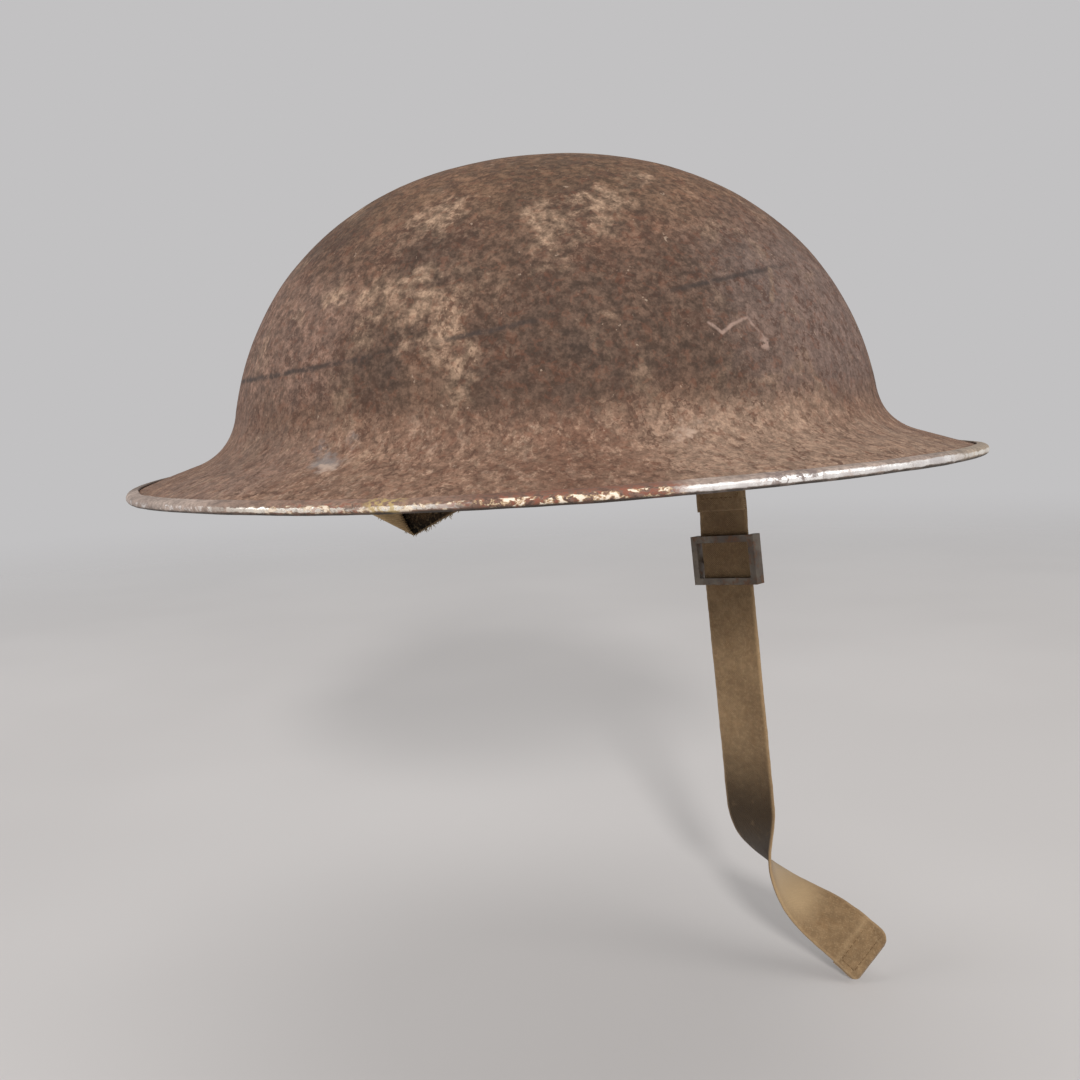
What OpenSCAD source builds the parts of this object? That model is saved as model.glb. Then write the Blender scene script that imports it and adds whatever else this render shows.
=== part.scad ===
// Steel helmet with a wide brim, a folded rim band, a crown-screwed liner and a webbing chin strap.
// +X is the front, +Y the wearer's left, +Z up. The origin is under the crown, at the rim's level.

/* [Dome] */
// Length of the dome where it meets the brim
dome_len = 238; // [225:1:250]
// Width of the dome where it meets the brim
dome_wid = 221; // [212:1:235]
// Height of the crown above the rim
dome_h = 108; // [102:1:118]
// Thickness of the steel shell
shell_t = 1; // [0.8:0.1:1.3]
// Height of the corner where dome and brim would meet without their curve
corner_z = 11; // [8:0.5:14]
// Length of the curve on either side of that corner
corner_len = 13.5; // [9:0.5:16]

/* [Brim] */
// Length of the brim, front to back
rim_len = 310; // [300:1:322]
// Width of the brim, side to side
rim_wid = 288; // [280:1:300]
// How much lower the brim lies at the sides than at the front
rim_droop = 4.2; // [0:0.1:7]
// How much further down the rear half of the brim is bent
rear_droop = 1.6; // [0:0.1:3]
// How far the brim's centre lies behind the dome's
rim_back = 3; // [0:0.5:5]
// Thickness of the sheet that is folded round the brim's edge
band_t = 0.7; // [0.5:0.1:0.9]
// Width of the folded band
band_w = 4.5; // [4:0.5:7]
// How far the fold bulges clear of the shell's edge
fold_room = 0.35; // [0.1:0.05:0.5]

/* [Liner] */
// Room between the fibre hoop and the shell at the front and at the rear
end_room = 10.5; // [9:0.5:15]
// Room between the fibre hoop and the shell at the sides
side_room = 18; // [15:0.5:23]
// Thickness of the fibre hoop
hoop_t = 1.6; // [1.2:0.1:2]
// Height of the hoop's lower edge above the rim
hoop_low = 8; // [7:0.5:11]
// Height of the hoop
hoop_h = 38; // [34:1:40]
// Thickness of the sweatband's leathercloth
cloth_t = 1.5; // [1.2:0.1:1.8]
// Width of the two crown straps
crown_strap_w = 25; // [20:1:27]
// Thickness of the two crown straps
crown_strap_t = 1.2; // [1:0.1:1.5]
// Diameter of the felt crown pad
pad_d = 64; // [50:1:70]
// Thickness of the felt crown pad at its middle
pad_h = 10; // [8:0.5:11]
// Wall of the hollow rubber buffers
buffer_wall = 3; // [2.5:0.1:3.2]
// Width of the front and rear buffers
end_buffer_w = 32; // [28:1:36]
// Height of the front and rear buffers
end_buffer_h = 14; // [12:1:16]
// How far their tops lie below the hoop's top
end_buffer_drop = 12; // [8:1:13]
// Width of the side buffers
side_buffer_w = 27; // [24:1:28]
// Height of the side buffers
side_buffer_h = 20; // [16:1:22]
// How far their tops lie below the hoop's top
side_buffer_drop = 2; // [1:0.5:4]
// How far the sweatband stands above the hoop
band_over = 2; // [1:0.5:3]
// How far the lining's tongues rise above the sweatband
tongue_rise = 25; // [20:1:28]

/* [Crown screw] */
// Diameter of the crown screw
screw_d = 6; // [5:0.5:7]
// Diameter of its low head
screw_head_d = 14; // [12:0.5:16]
// Height of its low head
screw_head_h = 1.2; // [1:0.1:1.6]
// Width of the nut across its flats
nut_af = 10; // [9:0.5:12]
// Height of the nut
nut_h = 4; // [3:0.5:5]

/* [Strap fittings] */
// How far the lugs sit ahead of the dome's centre
lug_x = 22; // [18:0.5:26]
// Height of the lug rivets above the rim
lug_z = 30; // [28:0.5:33]
// Width of the lug plate
lug_w = 12; // [10:0.5:13]
// Thickness of the lug plate
lug_t = 1.2; // [1:0.1:1.4]
// Diameter of the lug rivet
lug_rivet_d = 4.8; // [4:0.1:5.2]
// Diameter of the bail's wire
wire_d = 2.5; // [2.2:0.1:2.8]
// Depth of the bail, from bar to bar
bail_h = 12; // [11:0.5:13]
// Radius of the bail's corners at the wire's centre
bail_r = 3; // [2.5:0.1:4]

/* [Chin strap] */
// Width of the webbing
web_w = 25; // [22:0.5:26]
// Thickness of the webbing
web_t = 1.6; // [1.2:0.1:1.8]
// Length that is sewn back below the bail
sewn_len = 35; // [28:1:38]
// Length of the straight stretch below the bail
hang_len = 173; // [160:1:180]
// Lean of the straight stretch towards the front, in degrees
hang_lean = 4.9; // [0:0.1:6]
// Length of the doubled hem at the free end
hem_len = 12; // [8:0.5:14]
// Length of the torn strap on the right, from bar to tip
torn_len = 20.5; // [18:0.5:24]
// Height of the slide buckle
buckle_h = 22; // [18:0.5:26]
// Thickness of the slide buckle's bars
bar_t = 1.8; // [1.4:0.1:2.2]
// Distance from the bail to the middle of the buckle
buckle_at = 57; // [50:1:62]

/* [Hidden] */
$fn = 48;

rust = [0.36, 0.26, 0.21];
worn_steel = [0.55, 0.52, 0.49];
dark_steel = [0.30, 0.28, 0.27];
khaki = [0.52, 0.42, 0.27];
fibre = [0.30, 0.20, 0.14];
black_cloth = [0.13, 0.12, 0.11];
felt = [0.45, 0.43, 0.40];
rubber = [0.20, 0.19, 0.18];
cotton = [0.72, 0.68, 0.58];

// Shapes of the dome's plan section and of its upright section
plan_power = 2.27;
rise_power = 2.07;
// Level at which the dome's wall would stand upright
dome_base = 2;
dome_steps = 14;
corner_steps = 6;
brim_steps = 3;
turns = 96;

// Clearances
band_gap = 0.1;
seat_gap = 0.1;
soft_gap = 0.3;
pin_gap = 0.06;
hole_gap = 0.1;

function along(a, b, k) = a + (b - a) * k;
function unit(v) = v / norm(v);
function oval_r(th, len, wid) = 1 / sqrt(pow(2 * cos(th) / len, 2) + pow(2 * sin(th) / wid, 2));

// The dome's wall, as radius at a height and as height at a radius
function wall_share(z) = pow(1 - pow((z - dome_base) / (dome_h - dome_base), rise_power), 1 / plan_power);
function wall_r(th, z) = oval_r(th, dome_len, dome_wid) * wall_share(z);
function dome_z(r, r_full) =
    dome_base + (dome_h - dome_base) * pow(1 - pow(r / r_full, plan_power), 1 / rise_power);

// The folded edge is a half circle that bulges round the end of the shell
nose_r = shell_t / 2 + band_gap + fold_room + band_t;
function edge_r(th) = oval_r(th, rim_len, rim_wid) - nose_r;
function edge_z(th) = nose_r - rim_droop * pow(sin(th), 2)
    - (cos(th) < 0 ? rear_droop * (pow(sin(2 * th), 2) + pow(cos(th), 2)) : 0);
// Slope of the brim, from the edge up to the corner
function brim_dir(th) = unit([wall_r(th, corner_z) - edge_r(th), corner_z - edge_z(th) - shell_t / 2]);
function brim_start(th) = [edge_r(th), edge_z(th) + shell_t / 2];
function corner_end(th) = [wall_r(th, corner_z), corner_z] - brim_dir(th) * corner_len;

crown_hole_d = screw_d + 4 * hole_gap;
function crown_angle(th) = asin(pow(crown_hole_d / 2 / oval_r(th, dome_len, dome_wid), plan_power / 2));
top_share = (corner_z + corner_len - dome_base) / (dome_h - dome_base);
low_angle = acos(pow(top_share, rise_power / 2));
function bend(a, b, c, k) = a * pow(1 - k, 2) + b * 2 * k * (1 - k) + c * pow(k, 2);

// Outer line of the shell in the upright plane at one heading, from the crown hole to the edge
function outer_line(th) =
    let (full = oval_r(th, dome_len, dome_wid), a0 = crown_angle(th))
    [
        for (i = [0 : dome_steps])
            let (a = along(a0, low_angle, i / dome_steps), r = full * pow(sin(a), 2 / plan_power))
            [r, dome_z(r, full)],
        for (i = [1 : corner_steps])
            bend([wall_r(th, corner_z + corner_len), corner_z + corner_len],
                [wall_r(th, corner_z), corner_z], corner_end(th), i / corner_steps),
        for (i = [1 : brim_steps]) along(corner_end(th), brim_start(th), i / brim_steps)
    ];
// The same line moved inwards by a distance along its normals
function moved_in(line, d) = [
    for (i = [0 : len(line) - 1])
        let (t = unit(line[min(i + 1, len(line) - 1)] - line[max(i - 1, 0)]))
        line[i] + d * [t[1] > 0 ? -t[1] : t[1], -t[0]]
];
// The brim's centre lies behind the dome's, so points shift back from the corner outwards
function in_space(th, p) =
    let (r2 = corner_end(th)[0], k = max(0, min(1, (p[0] - r2) / (edge_r(th) - r2))))
    [p[0] * cos(th) - rim_back * k, p[0] * sin(th), p[1]];

// Faces of a row of closed rings, each ring turning right-handed about the row's direction,
// joined round in a circle or capped at both ends
function row_faces(rings, pts, round) = concat(
    [for (i = [0 : rings - (round ? 1 : 2)], j = [0 : pts - 1])
        let (a = i * pts, b = ((i + 1) % rings) * pts, k = (j + 1) % pts)
        each [[a + j, b + k, a + k], [a + j, b + j, b + k]]],
    round ? [] : [for (j = [0 : pts / 2 - 2])
        let (m = pts - 1 - j, e = (rings - 1) * pts)
        each [[j, j + 1, m - 1], [j, m - 1, m], [e + m, e + m - 1, e + j + 1], [e + m, e + j + 1, e + j]]]
);
module row_of_rings(rings, round) {
    polyhedron([for (r = rings) each r], row_faces(len(rings), len(rings[0]), round), convexity = 10);
}

// Lug frames: on the inner wall at the rivet, with Y outwards, X forwards and Z up the wall
lug_share = wall_share(lug_z);
lug_y_out = dome_wid / 2 * lug_share * sqrt(1 - pow(lug_x / (dome_len / 2 * lug_share), 2));
lug_turn = atan((lug_x / pow(dome_len, 2)) / (lug_y_out / pow(dome_wid, 2)));
lug_lean = atan((wall_r(90, lug_z - 2) - wall_r(90, lug_z + 2)) / 4);
lug_point = [lug_x, lug_y_out, lug_z]
    - shell_t * [sin(lug_turn) * cos(lug_lean), cos(lug_turn) * cos(lug_lean), sin(lug_lean)];
eye_in = wire_d / 2 + pin_gap;
eye_out = eye_in + lug_t;
eye_drop = 10.5;
lug_seat = 0.5;
eye_side = -(lug_seat + eye_out);
hinge_side = eye_side * cos(lug_lean) + eye_drop * sin(lug_lean);
hinge_point = lug_point + [sin(lug_turn) * hinge_side, cos(lug_turn) * hinge_side,
    eye_side * sin(lug_lean) - eye_drop * cos(lug_lean)];
bar_point = hinge_point - [0, 0, bail_h];
module at_left_lug() {
    translate(lug_point) rotate([0, 0, -lug_turn]) rotate([lug_lean, 0, 0]) children();
}
module at_left_hinge() {
    translate(hinge_point) rotate([0, 0, -lug_turn]) children();
}
module at_left_bar() {
    translate(bar_point) rotate([0, 0, -lug_turn]) children();
}
module on_right() {
    mirror([0, 1, 0]) children();
}

// Shell: one pressed sheet with a hole for the crown screw and one for each lug rivet
module shell() {
    rings = [for (n = [0 : turns - 1])
        let (th = 360 * n / turns, line = outer_line(th), inner = moved_in(line, shell_t),
            last = len(line) - 1)
        concat([for (i = [0 : last]) in_space(th, line[i])],
            [for (i = [last : -1 : 0]) in_space(th, inner[i])])];
    color(rust) difference() {
        row_of_rings(rings, true);
        at_left_lug() lug_rivet_hole();
        on_right() at_left_lug() lug_rivet_hole();
    }
}
module lug_rivet_hole() {
    rotate([-90, 0, 0]) cylinder(d = lug_rivet_d + 2 * hole_gap, h = 8, center = true);
}

// Rim band: a channel folded round the edge and pressed flat on the brim, its ends butted at the back
flange = band_w - nose_r;
flange_in = shell_t / 2 + band_gap;
flange_out = flange_in + band_t;
channel_in = nose_r - band_t;
nose_arc = [for (a = [90 : -30 : -90]) nose_r * [-cos(a), sin(a)]];
inner_arc = [for (a = [-90 : 60 : 90]) channel_in * [-cos(a), sin(a)]];
channel = concat([[flange, flange_out]], nose_arc, [[flange, -flange_out], [flange, -flange_in]],
    inner_arc, [[flange, flange_in]]);
seam_gap = 0.5;
module rim_band() {
    rings = [for (n = [0 : turns - 1])
        let (th = 360 * n / turns, u = brim_dir(th), w = [-u[1], u[0]])
        [for (p = channel)
            in_space(th, [edge_r(th), edge_z(th)] + u * p[0] - w * p[1])]];
    color(worn_steel) difference() {
        row_of_rings(rings, true);
        translate([-rim_len, -seam_gap / 2, -10]) cube([rim_len, seam_gap, 40]);
    }
}

// Crown stack, from the top down
crown_in = dome_h - shell_t;
washer_t = 0.8;
washer_d = 16;
washer_top = lookup(washer_d / 2, outer_line(90)) - shell_t - seat_gap;
pad_top = washer_top - washer_t;
pad_low = crown_in - pad_h - washer_t;
fore_top = pad_low - seat_gap;
cross_top = fore_top - crown_strap_t - seat_gap;
plate_d = 28;
plate_t = 1.1;
plate_top = cross_top - crown_strap_t - seat_gap;
nut_top = plate_top - plate_t;
screw_low = nut_top - nut_h - 1.2;
module crown_screw() {
    slot_w = 1.2;
    color(rust) difference() {
        union() {
            translate([0, 0, screw_low]) cylinder(d = screw_d, h = dome_h - screw_low + 0.2);
            translate([0, 0, dome_h]) rotate_extrude()
                polygon([[0, 0], [screw_head_d / 2, 0], [screw_head_d / 2 - 0.3, screw_head_h * 0.5],
                    [screw_head_d / 3, screw_head_h * 0.9], [0, screw_head_h]]);
        }
        translate([-screw_head_d, -slot_w / 2, dome_h + screw_head_h * 0.4])
            cube([2 * screw_head_d, slot_w, screw_head_h]);
    }
}
module crown_washer() {
    color(dark_steel) translate([0, 0, washer_top - washer_t]) difference() {
        cylinder(d = washer_d, h = washer_t);
        translate([0, 0, -1]) cylinder(d = screw_d + 2 * hole_gap, h = washer_t + 2);
    }
}
module crown_pad() {
    steps = 8;
    rim_drop = 0.8;
    inner_r = screw_d / 2 + soft_gap;
    top = [for (i = [0 : steps])
        let (r = along(washer_d / 2 + soft_gap, pad_d / 2 - rim_drop, i / steps))
        [r, dome_z(r, dome_wid / 2) - shell_t - soft_gap]];
    color(felt) rotate_extrude() polygon(concat(
        [[inner_r, pad_low], [inner_r, pad_top - soft_gap / 3],
            [washer_d / 2 + soft_gap, pad_top - soft_gap / 3]],
        top,
        [[pad_d / 2, top[steps][1] - 1.5], [pad_d / 2, pad_low + 1], [pad_d / 2 - 1, pad_low]]));
}
module crown_plate() {
    color(dark_steel) translate([0, 0, nut_top]) difference() {
        cylinder(d = plate_d, h = plate_t);
        translate([0, 0, -1]) cylinder(d = screw_d + 2 * hole_gap, h = plate_t + 2);
    }
}
module crown_nut() {
    color(dark_steel) translate([0, 0, nut_top - nut_h]) difference() {
        cylinder(d = nut_af / cos(30), h = nut_h, $fn = 6);
        translate([0, 0, -1]) cylinder(d = screw_d + 2 * pin_gap, h = nut_h + 2);
    }
}

// Crown straps: each rises from the hoop's outside, lies flat on the plate and goes down again
hoop_top = hoop_low + hoop_h;
side_buffer_top = hoop_top - side_buffer_drop;
side_buffer_z = [side_buffer_top - side_buffer_h, side_buffer_top];
end_buffer_top = hoop_top - end_buffer_drop;
end_buffer_z = [end_buffer_top - end_buffer_h, end_buffer_top];
liner_len = 2 * (wall_r(0, end_buffer_top) - shell_t - end_room);
liner_wid = 2 * (wall_r(90, side_buffer_top) - shell_t - side_room);
strap_foot = hoop_low + 5;
strap_steps = 14;
crown_flat = plate_d / 2 + 1;
function strap_curve(reach, top) = [
    for (side = [-1, 1], i = [0 : strap_steps])
        let (a = 90 * (side < 0 ? strap_steps - i : i) / strap_steps)
        [side * (crown_flat + (reach - crown_flat) * sin(a)),
            hoop_top + (top - hoop_top) * pow(cos(a), 1.25)]
];
module crown_strap(reach, top) {
    out = reach + crown_strap_t;
    under = strap_curve(reach, top - crown_strap_t);
    difference() {
        rotate([90, 0, 0]) linear_extrude(crown_strap_w, center = true) polygon(concat(
            [[-out, strap_foot]], strap_curve(out, top), [[out, strap_foot], [reach, strap_foot]],
            [for (i = [len(under) - 1 : -1 : 0]) under[i]], [[-reach, strap_foot]]));
        translate([0, 0, top - 5]) cylinder(d = screw_d + 2 * hole_gap, h = 10);
    }
}
module fore_aft_strap() {
    color(fibre) difference() {
        crown_strap(liner_len / 2 + seat_gap, fore_top);
        at_liner_ends() liner_rivet_holes();
    }
}
module cross_strap() {
    color(fibre) difference() {
        rotate([0, 0, 90]) crown_strap(liner_wid / 2 + seat_gap, cross_top);
        at_liner_ends() liner_rivet_holes();
    }
}
// Frames at the four ends of the straps, with X outwards from the hoop's outer face
module at_liner_ends() {
    for (n = [0 : 3]) rotate([0, 0, 90 * n])
        translate([(n % 2 == 0 ? liner_len : liner_wid) / 2, 0, 0]) children();
}

// Oval rings of the liner
function oval(len, wid) = [for (n = [0 : 71]) [len / 2 * cos(5 * n), wid / 2 * sin(5 * n)]];
module oval_ring(len, wid, t, low, high) {
    translate([0, 0, low]) linear_extrude(high - low) difference() {
        polygon(oval(len, wid));
        polygon(oval(len - 2 * t, wid - 2 * t));
    }
}
module liner_hoop() {
    color(fibre) difference() {
        oval_ring(liner_len, liner_wid, hoop_t, hoop_low, hoop_top);
        at_liner_ends() liner_rivet_holes();
    }
}
lip_h = 3.5;
band_inset = hoop_t + seat_gap;
module sweatband() {
    low = hoop_low - seat_gap - cloth_t;
    lip_out = 2 * (seat_gap + cloth_t);
    color(black_cloth) {
        oval_ring(liner_len - 2 * band_inset, liner_wid - 2 * band_inset, cloth_t,
            low, hoop_top + band_over);
        oval_ring(liner_len + lip_out, liner_wid + lip_out, band_inset + 2 * cloth_t, low, low + cloth_t);
        oval_ring(liner_len + lip_out, liner_wid + lip_out, cloth_t, low, hoop_low + lip_h);
    }
}

// Lining: tongues of leathercloth that lean in over the head, drawn together by a lace
tongues = 8;
tongue_t = 1.2;
tongue_base = hoop_top + band_over + seat_gap;
// Share of the hoop's size and of the tongue's rise, from its root to its tip
tongue_line = [[1, 0], [0.975, 0.28], [0.91, 0.56], [0.82, 0.8], [0.72, 1]];
function tongue_point(th, k, drop) =
    let (s = tongue_line[k][0], n = unit([12, 4 + 10 * k]))
    [for (c = [[cos(th), liner_len], [sin(th), liner_wid]])
        c[0] * (s * (c[1] / 2 - band_inset) - drop * n[0])];
module lining_tongues() {
    across = 6;
    color(black_cloth) for (n = [0 : tongues - 1]) {
        rings = [for (k = [0 : len(tongue_line) - 1])
            let (half = 19.5 - 1.2 * k * k / 2, mid = 360 * (n + 0.5) / tongues,
                z = tongue_base + tongue_line[k][1] * tongue_rise)
            concat(
                [for (i = [0 : across])
                    let (th = mid + half * (2 * i / across - 1)) concat(tongue_point(th, k, 0), z)],
                [for (i = [across : -1 : 0])
                    let (th = mid + half * (2 * i / across - 1))
                    concat(tongue_point(th, k, tongue_t * 1.1), z - (k == 0 ? 0 : tongue_t * 0.7))])];
        row_of_rings(rings, false);
    }
}
lace_d = 2;
module lining_lace() {
    steps = 48;
    tip = tongue_line[len(tongue_line) - 1];
    inset = tongue_t * 0.3 + lace_d / 2 + soft_gap;
    z = tongue_base + tongue_rise - tongue_t / 2;
    rings = [for (n = [0 : steps - 1])
        let (th = 360 * n / steps)
        [for (a = [0 : 45 : 315])
            [for (c = [[cos(th), liner_len], [sin(th), liner_wid]])
                c[0] * (tip[0] * (c[1] / 2 - band_inset) - inset + lace_d / 2 * cos(a))]]];
    color(cotton) row_of_rings(
        [for (r = rings) [for (i = [7 : -1 : 0]) concat(r[i], z + lace_d / 2 * sin(45 * i))]], true);
}

// Rubber buffers: flat tubes that stand between the hoop and the shell
buffer_seat = crown_strap_t + 2 * seat_gap;
wall_gap = 1;
end_depth = end_room - buffer_seat - wall_gap;
side_depth = side_room - buffer_seat - wall_gap;
module buffer(width, depth, z) {
    span = width - depth;
    color(rubber) difference() {
        translate([buffer_seat + depth / 2, 0, z[0]]) linear_extrude(z[1] - z[0]) difference() {
            rounded_slot(span, depth);
            rounded_slot(span, depth - 2 * buffer_wall);
        }
        translate([0, 0, (z[0] + z[1]) / 2]) rotate([0, 90, 0])
            cylinder(d = buffer_rivet_d + 2 * hole_gap, h = buffer_seat + buffer_wall + 0.5);
    }
}
module rounded_slot(span, depth) {
    square([depth, span], center = true);
    for (s = [-1, 1]) translate([0, s * span / 2]) circle(d = depth);
}
module front_buffer() {
    translate([liner_len / 2, 0, 0]) buffer(end_buffer_w, end_depth, end_buffer_z);
}
module rear_buffer() {
    rotate([0, 0, 180]) translate([liner_len / 2, 0, 0]) buffer(end_buffer_w, end_depth, end_buffer_z);
}
module left_buffer() {
    rotate([0, 0, 90]) translate([liner_wid / 2, 0, 0]) buffer(side_buffer_w, side_depth, side_buffer_z);
}
module right_buffer() {
    rotate([0, 0, -90]) translate([liner_wid / 2, 0, 0]) buffer(side_buffer_w, side_depth, side_buffer_z);
}

// Rivets of the liner: two at each strap end, and one through each buffer's inner wall
strap_rivet_d = 2.6;
strap_rivet_z = strap_foot + 3.5;
strap_rivet_side = 8;
buffer_rivet_d = 3;
rivet_head_d = 4.6;
rivet_head_h = 0.9;
flat_head_d = 6;
flat_head_h = 0.6;
module liner_rivet_holes() {
    for (s = [-1, 1]) translate([0, s * strap_rivet_side, strap_rivet_z]) rotate([0, 90, 0])
        cylinder(d = strap_rivet_d + 2 * hole_gap, h = 12, center = true);
    for (z = [end_buffer_z, side_buffer_z]) translate([0, 0, (z[0] + z[1]) / 2]) rotate([0, 90, 0])
        cylinder(d = buffer_rivet_d + 2 * hole_gap, h = 12, center = true);
}
module rivet(d, low, high, head_d, head_h) {
    rotate([0, 90, 0]) {
        translate([0, 0, low]) cylinder(d = d, h = high - low + head_h / 2);
        translate([0, 0, high]) cylinder(d1 = head_d, d2 = head_d * 0.6, h = head_h);
    }
}
module strap_rivets() {
    high = seat_gap + crown_strap_t + pin_gap;
    color(dark_steel) at_liner_ends() for (s = [-1, 1])
        translate([0, s * strap_rivet_side, strap_rivet_z])
            rivet(strap_rivet_d, -hoop_t, high, rivet_head_d, rivet_head_h);
}
module buffer_rivets() {
    high = buffer_seat + buffer_wall + pin_gap;
    color(dark_steel) for (n = [0 : 3]) {
        z = n % 2 == 0 ? end_buffer_z : side_buffer_z;
        rotate([0, 0, 90 * n]) translate([(n % 2 == 0 ? liner_len : liner_wid) / 2, 0, (z[0] + z[1]) / 2])
            rivet(buffer_rivet_d, -hoop_t, high, flat_head_d, flat_head_h);
    }
}

// Lugs: a plate riveted inside the wall, its lower end rolled into an eye for the bail
lug_top = 7;
module lug() {
    color(dark_steel) difference() {
        union() {
            translate([-lug_w / 2, -lug_seat - lug_t, -eye_drop])
                cube([lug_w, lug_t, eye_drop + lug_top - 2]);
            translate([0, -lug_seat, 0]) rotate([90, 0, 0]) intersection() {
                cylinder(r = lug_top, h = lug_t);
                translate([-lug_w / 2, 0, 0]) cube([lug_w, lug_top, lug_t]);
            }
            translate([-lug_w / 2, eye_side, -eye_drop]) rotate([0, 90, 0])
                cylinder(r = eye_out, h = lug_w);
        }
        translate([-lug_w, eye_side, -eye_drop]) rotate([0, 90, 0]) cylinder(r = eye_in, h = 2 * lug_w);
        rotate([-90, 0, 0]) cylinder(d = lug_rivet_d + 2 * hole_gap, h = 8, center = true);
    }
}
module lug_rivet() {
    head_d = 8;
    head_h = 0.6;
    tail_d = 7;
    tail_h = 1;
    outside = shell_t + 0.1;
    inside = lug_seat + lug_t + pin_gap;
    color(rust) rotate([-90, 0, 0]) {
        translate([0, 0, -inside]) cylinder(d = lug_rivet_d, h = inside + outside + head_h / 2);
        translate([0, 0, outside]) rotate_extrude() polygon([[0, 0], [head_d / 2, 0],
            [head_d / 2 - 0.3, head_h * 0.45], [head_d / 3, head_h * 0.9], [0, head_h]]);
        translate([0, 0, -inside - tail_h]) cylinder(d1 = tail_d - 1, d2 = tail_d, h = tail_h);
    }
}
module left_lug() { at_left_lug() lug(); }
module right_lug() { on_right() at_left_lug() lug(); }
module left_lug_rivet() { at_left_lug() lug_rivet(); }
module right_lug_rivet() { on_right() at_left_lug() lug_rivet(); }

// Bails: a closed wire loop, hung in the lug's eye
bail_half = web_w / 2 + bail_r + 0.5;
module bail() {
    straight = 2 * (bail_half - bail_r);
    color(dark_steel) {
        for (z = [0, -bail_h]) translate([-straight / 2, 0, z]) rotate([0, 90, 0])
            cylinder(d = wire_d, h = straight);
        for (s = [-1, 1]) translate([s * bail_half, 0, -bail_h + bail_r])
            cylinder(d = wire_d, h = bail_h - 2 * bail_r);
        for (s = [-1, 1]) translate([s * straight / 2, 0, -bail_r]) bail_corner(s);
        for (s = [-1, 1]) translate([s * straight / 2, 0, bail_r - bail_h]) mirror([0, 0, 1])
            bail_corner(s);
    }
}
module bail_corner(s) {
    rotate([90, 0, 0]) rotate([0, 0, s > 0 ? 0 : 90]) rotate_extrude(angle = 90)
        translate([bail_r, 0]) circle(d = wire_d);
}
module left_bail() { at_left_hinge() bail(); }
module right_bail() { on_right() at_left_hinge() bail(); }

// Sewn end of a webbing strap: it goes round the bail's lower bar and back down, doubled
loop_in = wire_d / 2 + pin_gap;
loop_out = loop_in + web_t;
module sewn_end(length) {
    neck = 8;
    rotate([90, 0, 90]) linear_extrude(web_w, center = true) difference() {
        union() {
            circle(r = loop_out);
            polygon([[-loop_out, 0], [loop_out, 0], [web_t, -neck], [web_t, -length],
                [-web_t, -length], [-web_t, -neck]]);
        }
        circle(r = loop_in);
    }
}

// Long strap: straight down from the bail, then a twist, and a tail that stands on its corner.
// The tail's points are offsets from the end of the straight stretch, each with the direction
// in which the webbing's width lies there.
tail = [
    [[3, -1, -9.5], [0.88, -0.46, 0]],
    [[7.5, -1.5, -18.5], [0.6, -0.8, 0.05]],
    [[14.5, -2, -27.5], [0.24, -0.97, 0]],
    [[25, -1, -37.5], [-0.15, -0.94, -0.3]],
    [[38.5, 1.5, -46.5], [-0.46, -0.73, -0.5]],
    [[52, 5, -58.5], [-0.48, -0.63, -0.61]]
];
side_dir = [cos(lug_turn), -sin(lug_turn), 0];
hang_dir = side_dir * sin(hang_lean) - [0, 0, cos(hang_lean)];
hang_across = side_dir * cos(hang_lean) + [0, 0, sin(hang_lean)];
hang_start = bar_point - [0, 0, sewn_len - 12];
hang_from = sewn_len - 12;
hang_end = hang_start + hang_dir * (hang_len - hang_from);
straight_steps = 6;
strap_line = concat(
    [for (i = [0 : straight_steps]) [along(hang_start, hang_end, i / straight_steps), hang_across]],
    [for (p = tail) [hang_end + p[0], p[1]]]);
// A smooth curve through the points of a list, at a place counted in points
function clamp_index(i, list) = max(0, min(len(list) - 1, i));
function smooth_at(list, col, s) =
    let (i = min(floor(s), len(list) - 2), k = s - i,
        a = list[clamp_index(i - 1, list)][col], b = list[i][col],
        c = list[i + 1][col], d = list[clamp_index(i + 2, list)][col])
    0.5 * (2 * b + (c - a) * k + (2 * a - 5 * b + 4 * c - d) * pow(k, 2)
        + (3 * b - 3 * c + d - a) * pow(k, 3));
// One cross-section of the webbing, its half thickness given
function web_ring(s, half) =
    let (p = smooth_at(strap_line, 0, s),
        t = unit(smooth_at(strap_line, 0, min(s + 0.05, len(strap_line) - 1))
            - smooth_at(strap_line, 0, max(s - 0.05, 0))),
        w = smooth_at(strap_line, 1, s), across = unit(w - t * (w * t)) * web_w / 2,
        up = unit(cross(t, w)) * half)
    [p - across - up, p + across - up, p + across + up, p - across + up];
tail_fine = 4;
last_step = norm(tail[5][0] - tail[4][0]);
hem_at = len(strap_line) - 1 - hem_len / last_step;
module long_strap() {
    fine_from = straight_steps - 1;
    stops = concat(
        [for (i = [0 : fine_from]) i],
        [for (s = [fine_from + 1 / tail_fine : 1 / tail_fine : hem_at - 0.1]) s]);
    color(khaki) {
        at_left_bar() sewn_end(sewn_len);
        row_of_rings(concat(
            [for (s = stops) web_ring(s, web_t / 2)],
            [web_ring(hem_at, web_t / 2), web_ring(hem_at + 0.02, web_t)],
            [for (k = [0.33, 0.66, 1]) web_ring(along(hem_at, len(strap_line) - 1, k), web_t)]), false);
    }
}

// Torn strap on the right: a short end with its rear corner folded up over its outer face
torn_rear = [-15.5, -14.5];
torn_front = [13.5, -13];
torn_tip = [-2.4, -torn_len];
module short_strap() {
    flap_back = [-11, -8.5];
    color(khaki) on_right() at_left_bar() {
        sewn_end(11);
        rotate([90, 0, 0]) {
            linear_extrude(web_t)
                polygon([[-web_w / 2, -5], torn_rear, torn_tip, torn_front, [web_w / 2, -5]]);
            translate([0, 0, -web_t]) linear_extrude(web_t)
                polygon([torn_rear, torn_tip, [-7, -12], flap_back]);
        }
    }
}

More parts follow.
